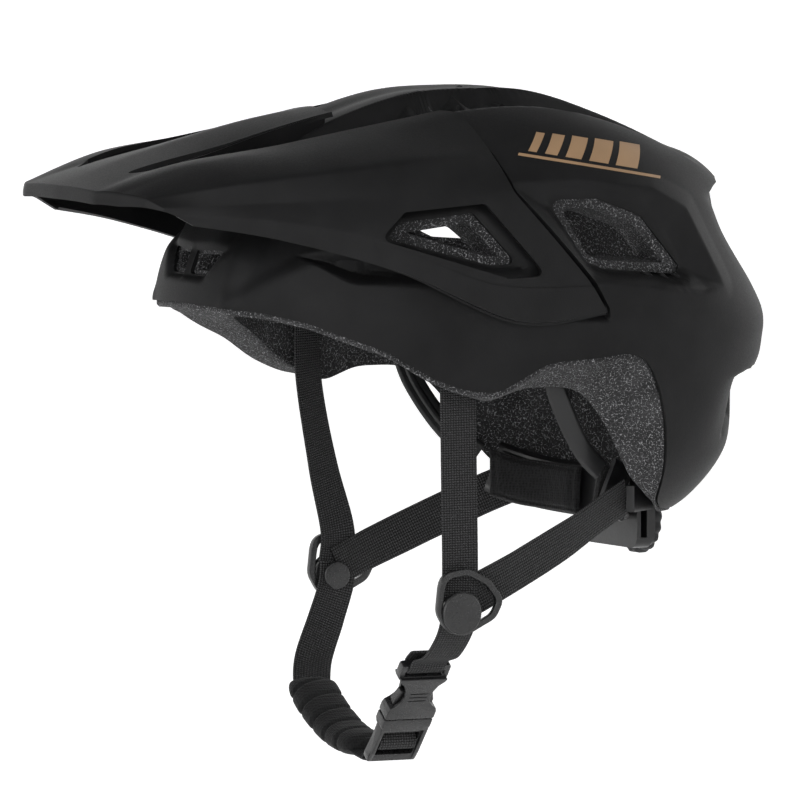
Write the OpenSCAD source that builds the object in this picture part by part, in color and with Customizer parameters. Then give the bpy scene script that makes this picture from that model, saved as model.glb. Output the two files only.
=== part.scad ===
// Open face cycling helmet: moulded skin on a foam liner, plug-in visor with side arms,
// dial-adjusted fit system, webbing straps and a side release buckle.
// Front is -Y, the wearer's left is +X, up is +Z. The origin is the centre of the head
// opening at brow height. Millimetres.

/* [Shell] */
// Half width of the skin at its widest
half_w = 107; // [104:1:110]
// Reach of the skin in front of the origin
reach_front = 145; // [143:1:147]
// Reach of the skin behind the origin
reach_rear = 146; // [144:1:148]
// Height of the crown above the origin
crown_h = 98; // [96:1:100]
// Wall of the moulded skin
skin_t = 1.6; // [1.2:0.1:2.0]
// Depth of the two long channels beside the centre ridge
channel_depth = 8; // [4:1:10]
// Depth of the step that the visor sits in
step_depth = 5; // [4.5:0.5:6]

/* [Liner] */
// Half width of the hollow for the head
cavity_half_w = 84; // [82:1:85]
// Reach of the hollow in front of the origin
cavity_front = 108; // [106:1:110]
// Reach of the hollow behind the origin
cavity_rear = 107; // [105:1:109]
// Height of the hollow above the origin
cavity_h = 72; // [70:1:73]

/* [Visor] */
// Wall of the visor
visor_t = 2.4; // [2:0.1:3]

/* [Fit dial] */
// Radius of the turning knob
knob_r = 17; // [15:0.5:19]
// Thickness of the knob
knob_t = 8; // [7:0.5:9]
// Number of teeth on the pinion
pinion_teeth = 10; // [10]
// Height of the centre of the dial
dial_z = -104; // [-106:1:-102]

/* [Straps] */
// Width of the webbing
web_w = 18; // [15:1:20]
// Thickness of the webbing
web_t = 1.4; // [1.2:0.1:1.8]

/* [Buckle] */
// Width of the buckle body
buckle_w = 25; // [24:0.5:27]
// Thickness of the buckle body
buckle_t = 8.4; // [8:0.2:9]

/* [Hidden] */

black = "#1c1c1e";
dark = "#262628";
foam = "#3a3a3c";
$fn = 48;

// Number of points round each ring of the shell, and rings from crown to rim
ring_n = 64;
row_n = 13;
// Space between the skin and the foam that it is bonded to
bond_gap = 2.0;

// Profiles from crown to rim, as [share of reach, share of crown height].
side_profile = [[0, 1], [0.3, 0.98], [0.54, 0.9], [0.75, 0.745], [0.89, 0.53], [0.963, 0.306],
  [1, 0.08], [1, -0.14], [0.98, -0.37], [0.944, -0.59], [0.88, -0.775], [0.766, -0.94],
  [0.65, -1.06]];
front_profile = [[0, 1], [0.26, 0.98], [0.52, 0.865], [0.72, 0.71], [0.855, 0.51], [0.945, 0.29],
  [0.993, 0.08], [1, -0.12], [0.985, -0.31], [0.965, -0.49], [0.94, -0.67], [0.9, -0.86],
  [0.85, -1.02]];
rear_profile = [[0, 1], [0.2, 0.975], [0.41, 0.88], [0.63, 0.745], [0.8, 0.58], [0.87, 0.31],
  [0.96, 0.05], [1, -0.14], [0.95, -0.37], [0.9, -0.59], [0.84, -0.79], [0.74, -0.96],
  [0.62, -1.06]];
cavity_profile = [[0, 1], [0.35, 0.955], [0.64, 0.79], [0.85, 0.54], [0.96, 0.24], [1, -0.07],
  [1, -0.45], [0.965, -0.87], [0.9, -1.36]];
nape_profile = [[0, 1], [0.35, 0.955], [0.64, 0.79], [0.85, 0.54], [0.96, 0.24], [1, -0.07],
  [1, -0.45], [1, -0.87], [0.97, -1.36]];

// Lower edge of the skin, as [angle from the left side, height]. -90 is the front.
rim_height = [[-90, 2], [-75, 1], [-60, -1], [-50, -5], [-40, -13], [-33, -19], [-26, -30],
  [-19, -37], [-12, -39], [-7, -32], [-2, -25], [7, -23], [14, -21], [18, -24], [22, -36],
  [25, -50], [28, -66], [31, -80], [36, -92], [44, -97], [90, -99]];
// Inner lower edge of the foam
inner_height = [[-90, -2], [-60, -4], [-40, -17], [-27, -33], [-15, -42], [-6, -36], [4, -36],
  [10, -38], [16, -48], [22, -64], [28, -80], [37, -91], [60, -88], [90, -84]];
// Where the visor's rear edge lies, as [height, Y]
parting_line = [[-12, 24], [0, 23], [14, 14], [53, -19], [70, -24], [84, -31], [98, -31]];

function mix(a, b, f) = a + (b - a) * f;
function smooth(a, b, x) = let (f = min(1, max(0, (x - a) / (b - a)))) f * f * (3 - 2 * f);

// Catmull-Rom curve through a list of points
function curve(p, t) = let (
    n = len(p) - 1,
    i = min(n - 1, floor(t)),
    f = t - i,
    a = p[max(0, i - 1)],
    b = p[i],
    c = p[i + 1],
    d = p[min(n, i + 2)]
  ) b + 0.5 * f * ((c - a) + f * ((2 * a - 5 * b + 4 * c - d) + f * (3 * (b - c) + d - a)));

// The plan is an ellipse that is a little fuller at its four quarters.
function fuller(phi) = 1 + 0.05 * pow(sin(2 * phi), 2);

function loft(phi, t, side, front, rear, w, fr, rr, h) = let (
    s = curve(side, t),
    e = curve(sin(phi) < 0 ? front : rear, t),
    k = pow(sin(phi), 2)
  ) [s[0] * w * cos(phi) * fuller(phi),
    e[0] * (sin(phi) < 0 ? fr : rr) * sin(phi) * fuller(phi),
    mix(s[1], e[1], k) * h];

function outer_raw(phi, t) =
  loft(phi, t, side_profile, front_profile, rear_profile, half_w, reach_front, reach_rear, crown_h);
function cavity(phi, t) =
  loft(phi, t, cavity_profile, cavity_profile, nape_profile,
    cavity_half_w, cavity_front, cavity_rear, cavity_h);

// How far the skin is set in: the visor's step, and the channels beside the centre ridge
function set_in(p) =
  step_depth * smooth(-10, 1, lookup(p[2], parting_line) - p[1]) * smooth(34, 50, abs(p[0]))
  + channel_depth * smooth(12, 28, abs(p[0])) * (1 - smooth(36, 54, abs(p[0])))
    * smooth(30, 55, p[2]) * (1 - smooth(70, 100, p[1]));

function normal_at(phi, t) = let (
    a = outer_raw(phi + 1, t) - outer_raw(phi - 1, t),
    b = outer_raw(phi, t + 0.05) - outer_raw(phi, t - 0.05),
    n = cross(b, a)
  ) n / norm(n);

// A point of the outer surface, moved in by depth
function outer(phi, t, depth) = t < 0.2
  ? [0, 0, crown_h - depth]
  : let (p = outer_raw(phi, t)) p - (depth + set_in(p)) * normal_at(phi, t);

// The place on a profile, counted in profile points, where the surface reaches height z
function reach_z(phi, z, inside, lo, hi, n = 12) = let (
    m = (lo + hi) / 2,
    h = inside ? cavity(phi, m)[2] : outer_raw(phi, m)[2]
  ) n == 0 ? m : h > z ? reach_z(phi, z, inside, m, hi, n - 1) : reach_z(phi, z, inside, lo, m, n - 1);

// Angle folded to the left half, for the edge tables
function folded(phi) = let (a = (phi + 450) % 360 - 90) a > 90 ? 180 - a : a;
function ring_angle(i) = i * 360 / ring_n;
function rim_t(phi, up) = reach_z(phi, lookup(folded(phi), rim_height) + up, false, 3, 12);
function inner_t(phi) = reach_z(phi, lookup(folded(phi), inner_height), true, 2, 8);

function outer_rings(depth, up) = [for (j = [1 : row_n]) [for (i = [0 : ring_n - 1]) let (
    phi = ring_angle(i)
  ) outer(phi, rim_t(phi, up) * pow(j / row_n, 0.9), depth)]];
function cavity_rings() = [for (j = [row_n : -1 : 1]) [for (i = [0 : ring_n - 1]) let (
    phi = ring_angle(i)
  ) cavity(phi, inner_t(phi) * j / row_n)]];

// A closed skin from rings that start at the point first and end at the point last
module ring_solid(rings, first, last) {
  n = len(rings[0]);
  m = len(rings);
  points = concat([first, last], [for (r = rings) each r]);
  top = [for (i = [0 : n - 1]) [0, 2 + (i + 1) % n, 2 + i]];
  wall = [for (j = [0 : m - 2]) for (i = [0 : n - 1]) each
    [[2 + j * n + i, 2 + j * n + (i + 1) % n, 2 + (j + 1) * n + i],
     [2 + j * n + (i + 1) % n, 2 + (j + 1) * n + (i + 1) % n, 2 + (j + 1) * n + i]]];
  end = [for (i = [0 : n - 1]) [1, 2 + (m - 1) * n + i, 2 + (m - 1) * n + (i + 1) % n]];
  polyhedron(points, concat(top, wall, end), 6);
}

// A closed tube of quads from rings, capped flat at both ends
module tube_solid(rings) {
  n = len(rings[0]);
  m = len(rings);
  faces = concat(
    [[for (i = [n - 1 : -1 : 0]) i]],
    [for (j = [0 : m - 2]) for (i = [0 : n - 1])
      [j * n + i, j * n + (i + 1) % n, (j + 1) * n + (i + 1) % n, (j + 1) * n + i]],
    [[for (i = [0 : n - 1]) (m - 1) * n + i]]);
  polyhedron([for (r = rings) each r], faces, 4);
}

module mirrored() {
  children();
  mirror([1, 0, 0]) children();
}

// ---- Vents ----

// Outlines as seen from the left, [Y, Z], and from the top or front, [X, Y] or [X, Z]
front_side_vent = [[-80, 33], [-72, 41], [-38, 45], [-18, 20], [-33, 20]];
rear_side_vent = [[-1, 50], [24, 50], [49, 41], [69, 17], [66, 13], [24, 17], [15, 21]];
visor_window = [[-90, 35], [-77, 46], [-36, 50], [-9, 16], [-29, 16]];
top_front_vent = [[27, -58], [40, -50], [41, -18], [27, -14]];
top_rear_vent = [[27, 4], [41, 8], [40, 44], [28, 50]];
tail_vent = [[24, 66], [40, 62], [36, 88], [24, 90]];
brow_vent = [[16, 8], [20, 19], [58, 22], [52, 10]];
nape_vent = [[50, -36], [66, -38], [64, -62], [52, -56]];

// A vent through the side walls
module side_cut(outline, grow = 0) {
  mirrored() translate([60, 0, 0]) rotate([90, 0, 90]) linear_extrude(60)
    offset(r = 2) offset(delta = grow - 2) polygon(outline);
}

// A vent through the crown
module top_cut(outline) {
  mirrored() translate([0, 0, 30]) linear_extrude(80) offset(r = 2) offset(delta = -2) polygon(outline);
}

// A vent through the front or rear wall, between the distances y0 and y1
module end_cut(outline, y0, y1) {
  mirrored() translate([0, y1, 0]) rotate([90, 0, 0]) linear_extrude(y1 - y0)
    offset(r = 2) offset(delta = -2) polygon(outline);
}

module vents(grow = 0) {
  side_cut(front_side_vent, grow);
  side_cut(rear_side_vent, grow);
  top_cut(top_front_vent);
  top_cut(top_rear_vent);
  top_cut(tail_vent);
  end_cut(brow_vent, -160, -80);
  end_cut(nape_vent, 60, 160);
}

// ---- Shell and liner ----

module outer_shell() {
  color(black) resize([0, 0, 0]) difference() {
    ring_solid(
      concat(outer_rings(0, 0), [for (j = [row_n - 1 : -1 : 0]) outer_rings(skin_t, 0)[j]]),
      [0, 0, crown_h], [0, 0, crown_h - skin_t]);
    vents();
    socket_beds();
  }
}

module foam_liner() {
  color(foam) resize([0, 0, 0]) difference() {
    ring_solid(concat(outer_rings(skin_t + bond_gap, 0), cavity_rings()),
      [0, 0, crown_h - skin_t - bond_gap], [0, 0, cavity_h]);
    vents();
    socket_beds();
  }
}

// Where the visor plugs in, on the left side: through the flank and on the crown
pin_y = -44;
pin_z = 60;
pin_x = 80;
socket_r = 5;

module socket_beds() {
  for (x = [-pin_x, pin_x]) translate([x, pin_y + 12, pin_z]) rotate([90, 0, 0])
    cylinder(r = socket_r + 0.2, h = 40);
}

// ---- Visor ----

// Seven lines from the visor's rear edge to its front edge, on the left half:
// centre, fin edge, side ridge, side crease, flank, arm crease and lower edge
visor_lines = [
  [[0, -76, 90], [0, -108, 85], [0, -142, 77], [0, -176, 67.5], [0, -206, 57]],
  [[18, -77, 88], [22, -108, 81], [28, -142, 72], [33, -175, 64.5], [36, -204, 56]],
  [[55, -29, 89], [56, -72, 81.5], [56, -115, 74.5], [55, -158, 68.5], [52, -199, 55]],
  [[83, -25, 70], [84, -62, 68], [81, -105, 63.5], [75, -150, 59], [64, -194, 53.5]],
  [[95.5, -20, 53], [95, -60, 52], [91, -100, 52], [82, -145, 51], [69, -190, 50]],
  [[107.5, 13, 13], [106, -40, 12], [99, -88, 34], [87, -139, 43], [71, -188, 47]],
  [[107.5, 22, -3], [106.5, -24, -6], [101, -82, 19], [89, -134, 34], [72, -185, 43]]];
visor_cols = 17;
visor_rows = 22;

function flip(p) = [-p[0], p[1], p[2]];
function visor_top(u, v) = let (
    side = [for (line = visor_lines) curve(line, v * 4)],
    whole = concat([for (k = [6 : -1 : 1]) flip(side[k])], side)
  ) curve(whole, 6 + u * 6);
function visor_normal(u, v) = let (
    e = 0.02,
    a = visor_top(min(1, u + e), v) - visor_top(max(-1, u - e), v),
    b = visor_top(u, min(1, v + e)) - visor_top(u, max(0, v - e)),
    n = cross(b, a)
  ) n / norm(n);
function visor_ring(v) = let (
    us = [for (i = [-visor_cols : visor_cols]) i / visor_cols]
  ) concat([for (u = us) visor_top(u, v)],
    [for (k = [len(us) - 1 : -1 : 0]) visor_top(us[k], v) - visor_t * visor_normal(us[k], v)]);

// The opening between the centre fin and each side ridge, as seen from the top
scoop = [[25, -186], [38, -172], [46, -150], [49, -118], [50, -55], [50, 10], [0, 10], [0, -40],
  [19, -60], [19, -84], [24, -130]];

module visor() {
  color(dark) resize([0, 0, 0]) difference() {
    tube_solid([for (j = [0 : visor_rows]) visor_ring(j / visor_rows)]);
    side_cut(visor_window);
    mirrored() linear_extrude(140) polygon(scoop);
  }
}

// Pins moulded under the arms, which plug forward into the sockets
module visor_pins() {
  color(black) mirrored() translate([pin_x, pin_y, pin_z]) {
    rotate([90, 0, 0]) rotate_extrude() polygon([[0, -9], [2, -9], [2.8, -7], [2, -5], [2, 4], [0, 4]]);
    translate([0, -4, -1.5]) cube([6, 3.5, 3]);
  }
}

module visor_sockets() {
  color(black) for (x = [-pin_x, pin_x]) translate([x, pin_y + 11, pin_z]) rotate([90, 0, 0])
    difference() {
      cylinder(r = socket_r, h = 10);
      translate([0, 0, 1.5]) cylinder(r = 3.2, h = 10);
    }
}

// ---- Bands, ribbons and webbing ----

// A flat strip along points, with its width across each point's direction in wide
module ribbon(points, wide, w, t) {
  n = len(points) - 1;
  rings = [for (i = [0 : n]) let (
      along = points[min(n, i + 1)] - points[max(0, i - 1)],
      side = wide[i] / norm(wide[i]) * w / 2,
      up = cross(along, side) / norm(cross(along, side)) * t / 2,
      p = points[i]
    ) [p + side - up, p - side - up, p - side + up, p + side + up]];
  resize([0, 0, 0]) tube_solid(rings);
}

function along_curve(points, n) = [for (i = [0 : n]) curve(points, i * (len(points) - 1) / n)];

// Forehead band inside the hollow, at brow height
band_w = 14;
band_t = 1.4;
band_half_w = 76;
band_reach = 98;
module headband() {
  color(black) resize([0, 0, 0]) difference() {
    linear_extrude(band_w) offset(r = band_t) scale([band_half_w, band_reach])
      circle(r = 1, $fn = 90);
    translate([0, 0, -1]) linear_extrude(band_w + 2) scale([band_half_w, band_reach])
      circle(r = 1, $fn = 90);
    translate([-120, -8, -1]) cube([240, 140, band_w + 2]);
  }
}

// Yoke arm from the temple back to the cradle
arm_w = 10;
module band_arm() {
  points = along_curve([[76.5, -6, -2], [76.5, 6, -22], [74, 14, -44], [68, 28, -66], [61, 42, -78]], 12);
  color(black) ribbon(points, [for (i = [0 : 12]) [0, mix(1, 0.35, i / 12), mix(0.1, 1, i / 12)]],
    arm_w, band_t);
}
module left_band_arm() {
  band_arm();
}
module right_band_arm() {
  mirror([1, 0, 0]) band_arm();
}

// Mushroom pins that hold the band in the foam: two at the temples, two at the brow
module band_anchor_pins() {
  color(black) {
    for (s = [-1, 1]) translate([s * 77.8, -14, 7]) rotate([0, s * 90, 0]) cylinder(r = 3, h = 14);
    for (s = [-1, 1]) translate([s * 38, -87, 7]) rotate([90, 0, s * 22]) cylinder(r = 3, h = 22);
  }
}

// Cradle that cups the back of the head: a curved plate with two wings
cradle_tall = 24;
cradle_t = 2;
module rear_cradle() {
  points = along_curve([[57, 47, -84], [44, 62, -90], [24, 74, -93], [0, 77, -93],
    [-24, 74, -93], [-44, 62, -90], [-57, 47, -84]], 24);
  color(black) ribbon(points, [for (p = points) [p[0] * 0.004, 0.1, 1]],
    cradle_tall, cradle_t);
}

cradle_pad_tall = 22;
cradle_pad_t = 4;
module cradle_pad() {
  points = along_curve([[53, 43.5, -86], [46, 54, -90], [34, 64.5, -92], [16, 70, -93]], 8);
  color(dark) ribbon(points, [for (p = points) [p[0] * 0.004, 0.1, 1]],
    cradle_pad_tall, cradle_pad_t);
}
module left_cradle_pad() {
  cradle_pad();
}
module right_cradle_pad() {
  mirror([1, 0, 0]) cradle_pad();
}

// ---- Fit dial ----

module_mm = 1;
pitch_r = module_mm * pinion_teeth / 2;
dial_y = 88;

module at_dial(y) {
  translate([0, y, dial_z]) rotate([-90, 0, 0]) children();
}

// Housing with a through slot for the racks and a pocket for the pinion
module dial_housing() {
  color(black) difference() {
    at_dial(79.5) linear_extrude(8) offset(r = 6) square([40, 16], center = true);
    translate([-40, 81.5, dial_z - 9]) cube([80, 3.2, 18]);
    at_dial(81.5) cylinder(r = 9, h = 10);
  }
}

module dial_back_plate() {
  color(black) difference() {
    at_dial(dial_y) linear_extrude(1.6) offset(r = 6) square([38, 14], center = true);
    at_dial(dial_y - 1) cylinder(r = 4.2, h = 5);
  }
}

module dial_knob() {
  color(black) difference() {
    union() {
      at_dial(dial_y + 2) cylinder(r = knob_r, h = knob_t);
      at_dial(dial_y + 1) for (i = [0 : 17]) rotate(i * 20) translate([knob_r, 0, 1.5])
        cylinder(r = 1.3, h = knob_t - 1);
    }
    at_dial(dial_y - 1) cylinder(r = 2, h = 30);
    at_dial(dial_y + 2 + knob_t - 3) cylinder(r = 4.5, h = 5);
  }
}

module dial_pinion() {
  color(dark) at_dial(82) difference() {
    union() {
      cylinder(r = pitch_r - 1.1, h = 7.6);
      linear_extrude(2.2) for (i = [0 : pinion_teeth - 1]) rotate(i * 360 / pinion_teeth)
        polygon([[2.8, -0.8], [pitch_r + 0.5, -0.3], [pitch_r + 0.5, 0.3], [2.8, 0.8]]);
    }
    translate([0, 0, -1]) cylinder(r = 2, h = 12);
  }
}

module dial_screw() {
  color("silver") at_dial(81.7) {
    cylinder(r = 1.7, h = 14);
    translate([0, 0, 13.6]) cylinder(r = 3.6, h = 1.8);
  }
}

// Leaf that clicks on the knob's ratchet
module detent_spring() {
  color("silver") at_dial(85.2) linear_extrude(1.8) difference() {
    translate([0, 0.5]) circle(r = 8);
    translate([0, 0.5]) circle(r = 7.4);
    translate([-10, -12]) square([20, 14]);
  }
}

// Toothed strip: the teeth point at the pinion, and the strip runs on towards the temple
rack_len = 34;
module rack(side) {
  pitch = PI * module_mm;
  color(dark) translate([0, 82.4, dial_z]) rotate([-90, 0, 0]) scale([side, -side, 1])
    linear_extrude(1.4) {
      translate([-18, pitch_r + 0.9]) square([18 + rack_len, 3]);
      for (i = [-5 : 5]) translate([i * pitch, pitch_r + 1])
        polygon([[-0.5, 0], [-0.25, -1.2], [0.25, -1.2], [0.5, 0]]);
    }
}
module left_rack() {
  rack(1);
}
module right_rack() {
  rack(-1);
}

// ---- Pads ----

// A pad that follows the hollow between two angles and two profile places, off it by a gap
module hollow_pad(phi0, phi1, t0, t1, gap, thick) {
  n = 14;
  m = 6;
  function at(i, j, d) = let (
      phi = mix(phi0, phi1, i / n),
      t = mix(t0, t1, j / m),
      p = cavity(phi, t)
    ) p * (1 - (gap + d) / norm(p));
  rings = [for (i = [0 : n]) concat([for (j = [0 : m]) at(i, j, thick)],
    [for (j = [m : -1 : 0]) at(i, j, 0)])];
  color(dark) resize([0, 0, 0]) tube_solid(rings);
}

module brow_pad() {
  hollow_pad(-140, -40, 4.2, 4.6, 16, 4.5);
}

// Long pad over the crown, front to rear, with a bar across
module crown_pad() {
  color(dark) resize([0, 0, 0]) intersection() {
    difference() {
      scale([cavity_half_w - 3, cavity_front - 4, cavity_h - 3]) sphere(r = 1, $fn = 48);
      scale([cavity_half_w - 9, cavity_front - 11, cavity_h - 9]) sphere(r = 1, $fn = 48);
    }
    union() {
      translate([-14, -75, 10]) cube([28, 150, 80]);
      translate([-52, -14, 10]) cube([104, 28, 80]);
    }
  }
}

module left_side_pad() {
  hollow_pad(24, 58, 4.9, 6.1, 2, 5);
}
module right_side_pad() {
  mirror([1, 0, 0]) hollow_pad(24, 58, 4.9, 6.1, 2, 5);
}

// Round hook dots glued to the foam behind the crown and side pads
module hook_dots() {
  color(black) {
    for (s = [-1, 1]) translate([0, s * 40, 64.6]) rotate([-s * 22, 0, 0]) cylinder(r = 9, h = 1.2);
    translate([0, 0, 70.1]) cylinder(r = 9, h = 1.2);
  }
}

// ---- Straps ----

// The right divider hangs a little higher and further back than the left one
divider_x = 78;
left_divider_at = [divider_x, -33, -132];
right_divider_at = [-divider_x, -19, -126];
function divider_at(side) = side > 0 ? left_divider_at : right_divider_at;
divider_t = 4;
disc_r = 10;
disc_t = 1.8;
y_dir = [0, 1, 0];

module strap_anchors() {
  color(black) mirrored() {
    translate([77, -50, -6]) cube([10, 22, 5]);
  }
}

module strap_guides() {
  color(black) mirrored() translate([52, 67, -92]) rotate([0, 0, 40]) difference() {
    cube([4, 22, 12], center = true);
    cube([2.2, 19, 20], center = true);
  }
}

module front_strap(side) {
  points = [[side * 76, -40, -7], [side * 76, -39.5, -40], divider_at(side) + [-side * 3, -5, 10]];
  color(black) ribbon(points, [y_dir, y_dir, y_dir], web_w, web_t);
}
module rear_strap(side) {
  points = [divider_at(side) + [-side * 5, 12, 7], [side * 68, 22, -107], [side * 56.3, 54, -92.5]];
  across = [0, 0.42, 0.9];
  color(black) ribbon(points, [across, across, [side * 0.1, 0.2, 1]], web_w, web_t);
}
module left_front_strap() {
  front_strap(1);
}
module right_front_strap() {
  front_strap(-1);
}
module left_rear_strap() {
  rear_strap(1);
}
module right_rear_strap() {
  rear_strap(-1);
}

// Rounded triangular frame that the two side straps meet in
module divider(side) {
  color(black) translate(divider_at(side)) rotate([90, 0, 90])
    translate([0, 0, -divider_t / 2]) linear_extrude(divider_t) difference() {
      offset(r = 4) polygon([[-12, 11], [9, 12], [12, 2], [-4, -13], [-9, -13]]);
      offset(r = 2) polygon([[-9, 8], [5, 9], [7, 5], [-9, 4]]);
      translate([-5.5, -7.5]) circle(r = 5);
    }
}
module divider_disc(side) {
  color(black) translate(divider_at(side) + [side * 2.3, -7, -7.5])
    rotate([0, side * 90, 0]) cylinder(r = disc_r, h = disc_t);
}
module left_divider() {
  divider(1);
}
module left_divider_disc() {
  divider_disc(1);
}
module right_divider() {
  divider(-1);
}
module right_divider_disc() {
  divider_disc(-1);
}

module left_chin_strap() {
  points = [[75, -38.5, -134], [73.5, -39, -148], [64, -40, -158], [49.5, -41, -166]];
  color(black) ribbon(points, [for (p = points) y_dir], web_w, web_t);
}
module right_chin_strap() {
  points = along_curve([[-75, -24, -129], [-73, -35, -165], [-58, -45, -185.5], [-30, -44, -203],
    [-7, -42.5, -210.5], [4, -41, -213]], 12);
  color(black) ribbon(points, [for (p = points) y_dir], web_w, web_t);
}

// Quilted sleeve round the chin strap
module chin_pad() {
  path = along_curve([[-62, -45.5, -182.5], [-48, -46, -192.5], [-30, -44, -203], [-9, -42.5, -207.8]], 10);
  rings = [for (i = [0 : 10]) let (
      along = path[min(10, i + 1)] - path[max(0, i - 1)],
      up = cross(along, y_dir) / norm(cross(along, y_dir)),
      swell = 1 - 0.25 * pow(abs(i / 5 - 1), 3)
    ) [for (k = [0 : 15])
      path[i] + y_dir * 12.5 * swell * cos(k * 22.5) + up * 5.5 * swell * sin(-k * 22.5)]];
  color(dark) resize([0, 0, 0]) tube_solid(rings);
}

// ---- Buckle ----

buckle_at = [28, -41, -188];
buckle_turn = 129;
// Each prong turns on a round root at this place along and across the buckle
prong_root = [2, 7.5];
prong_root_r = 1.5;
prong_t = 3.8;
wall = 1.6;

module at_buckle() {
  translate(buckle_at) rotate([0, buckle_turn, 0]) children();
}

// Socket half: a hollow box with a strap bar on its end and two side windows
module buckle_female() {
  color(black) at_buckle() difference() {
    union() {
      translate([-22, -buckle_w / 2, -buckle_t / 2]) cube([24, buckle_w, buckle_t]);
      translate([-30, -buckle_w / 2, -2]) cube([9, buckle_w, 4]);
    }
    translate([-19, -buckle_w / 2 + 2, -buckle_t / 2 + wall]) cube([30, buckle_w - 4, buckle_t - 2 * wall]);
    translate([-15, -buckle_w, -buckle_t / 2 + wall]) cube([11, 2 * buckle_w, buckle_t - 2 * wall]);
    translate([-27, -10, -4]) cube([4, 20, 8]);
  }
}

// Plug half: a shoulder, a ladder frame for the strap and a centre tongue
module buckle_male() {
  color(black) at_buckle() difference() {
    union() {
      translate([2.5, -buckle_w / 2, -buckle_t / 2]) cube([7, buckle_w, buckle_t]);
      translate([9, -buckle_w / 2, -2.2]) cube([21, buckle_w, 4.4]);
      translate([-14, -1.6, -1.5]) cube([18, 3.2, 3]);
    }
    for (x = [12, 21]) translate([x, -9.6, -6]) cube([5, 19.2, 12]);
    for (side = [-1, 1]) translate([prong_root[0], side * prong_root[1], -prong_t / 2 - 0.3])
      cylinder(r = prong_root_r + 0.3, h = prong_t + 0.6);
  }
}

// Spring leg with a barb that shows in the side window
module prong(side) {
  color(black) at_buckle() scale([1, side, 1]) translate([0, 0, -prong_t / 2])
    linear_extrude(prong_t) {
      polygon([[2, 6], [2, 9], [-4.2, 8.2], [-4.6, 10], [-8, 10.2], [-13.5, 8.2], [-14, 6.6],
        [-8, 6]]);
      translate(prong_root) circle(r = prong_root_r, $fn = 32);
    }
}
module buckle_front_prong() {
  prong(-1);
}
module buckle_rear_prong() {
  prong(1);
}

outer_shell();
foam_liner();
visor();
visor_pins();
visor_sockets();
headband();
left_band_arm();
right_band_arm();
band_anchor_pins();
rear_cradle();
left_cradle_pad();
right_cradle_pad();
dial_housing();
dial_back_plate();
dial_knob();
dial_pinion();
dial_screw();
detent_spring();
left_rack();
right_rack();
brow_pad();
crown_pad();
left_side_pad();
right_side_pad();
hook_dots();
strap_anchors();
strap_guides();
left_front_strap();
left_rear_strap();
right_front_strap();
right_rear_strap();
left_divider();
left_divider_disc();
right_divider();
right_divider_disc();
left_chin_strap();
right_chin_strap();
chin_pad();
buckle_female();
buckle_male();
buckle_front_prong();
buckle_rear_prong();
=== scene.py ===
import math

import bmesh
import bpy
import numpy as np
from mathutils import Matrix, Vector


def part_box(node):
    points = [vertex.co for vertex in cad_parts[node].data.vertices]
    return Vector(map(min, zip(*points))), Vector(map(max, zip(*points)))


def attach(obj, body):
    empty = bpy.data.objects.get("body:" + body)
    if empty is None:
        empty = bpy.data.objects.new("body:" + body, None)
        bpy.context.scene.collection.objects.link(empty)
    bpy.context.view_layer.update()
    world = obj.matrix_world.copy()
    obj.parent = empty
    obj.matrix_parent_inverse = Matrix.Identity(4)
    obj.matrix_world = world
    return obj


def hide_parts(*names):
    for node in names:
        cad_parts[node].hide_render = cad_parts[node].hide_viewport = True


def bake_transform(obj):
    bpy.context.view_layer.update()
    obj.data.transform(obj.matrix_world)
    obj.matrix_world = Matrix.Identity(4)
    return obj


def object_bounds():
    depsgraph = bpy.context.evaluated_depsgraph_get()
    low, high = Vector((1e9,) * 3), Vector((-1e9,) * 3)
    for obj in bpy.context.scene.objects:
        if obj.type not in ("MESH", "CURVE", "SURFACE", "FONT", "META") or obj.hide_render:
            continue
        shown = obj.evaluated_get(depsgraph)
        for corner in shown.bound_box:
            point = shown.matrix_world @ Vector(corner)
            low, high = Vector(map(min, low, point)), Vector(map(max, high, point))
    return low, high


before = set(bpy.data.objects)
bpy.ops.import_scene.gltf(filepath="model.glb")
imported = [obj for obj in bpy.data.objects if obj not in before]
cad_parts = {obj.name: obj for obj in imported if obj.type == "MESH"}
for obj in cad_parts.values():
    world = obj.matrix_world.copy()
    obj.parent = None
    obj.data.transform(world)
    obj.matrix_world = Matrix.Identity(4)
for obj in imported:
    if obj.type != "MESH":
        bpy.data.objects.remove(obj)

cad_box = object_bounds()

# Work in millimetres, as the CAD model does, and turn into metres when a mesh is made.
MM = 0.001


def node_box(name):
    lo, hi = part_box(name)
    return np.array(lo) / MM, np.array(hi) / MM


shell_lo, shell_hi = node_box("outer_shell")
crown_h = shell_hi[2]
# The plain loft is a little wider, and longer at the front, than the CAD shell's box
half_w = shell_hi[0] / 0.992
reach_front = -shell_lo[1] * 1.002
reach_rear = shell_hi[1]
skin_t = 1.8
step_depth = 5.2
both_sides = ((1, "left"), (-1, "right"))


# ---------------------------------------------------------------- curves and fields

def mix(a, b, f):
    return a + (b - a) * f


def smooth(a, b, x):
    f = np.clip((x - a) / (b - a), 0, 1)
    return f * f * (3 - 2 * f)


def bump(x, width):
    """1 at x = 0, falling smoothly to 0 at plus or minus width"""
    return 1 - smooth(0, width, np.abs(x))


def curve(points, t):
    """Catmull-Rom curve through points, at places t counted in points"""
    p = np.asarray(points, float)
    n = len(p) - 1
    t = np.clip(np.asarray(t, float), 0, n)
    i = np.minimum(np.floor(t).astype(int), n - 1)
    f = (t - i)[..., None]
    a, b, c, d = (p[np.clip(i + k, 0, n)] for k in (-1, 0, 1, 2))
    return b + 0.5 * f * ((c - a) + f * ((2 * a - 5 * b + 4 * c - d) + f * (3 * (b - c) + d - a)))


def unit(v):
    return v / np.maximum(np.linalg.norm(v, axis=-1, keepdims=True), 1e-9)


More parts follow.
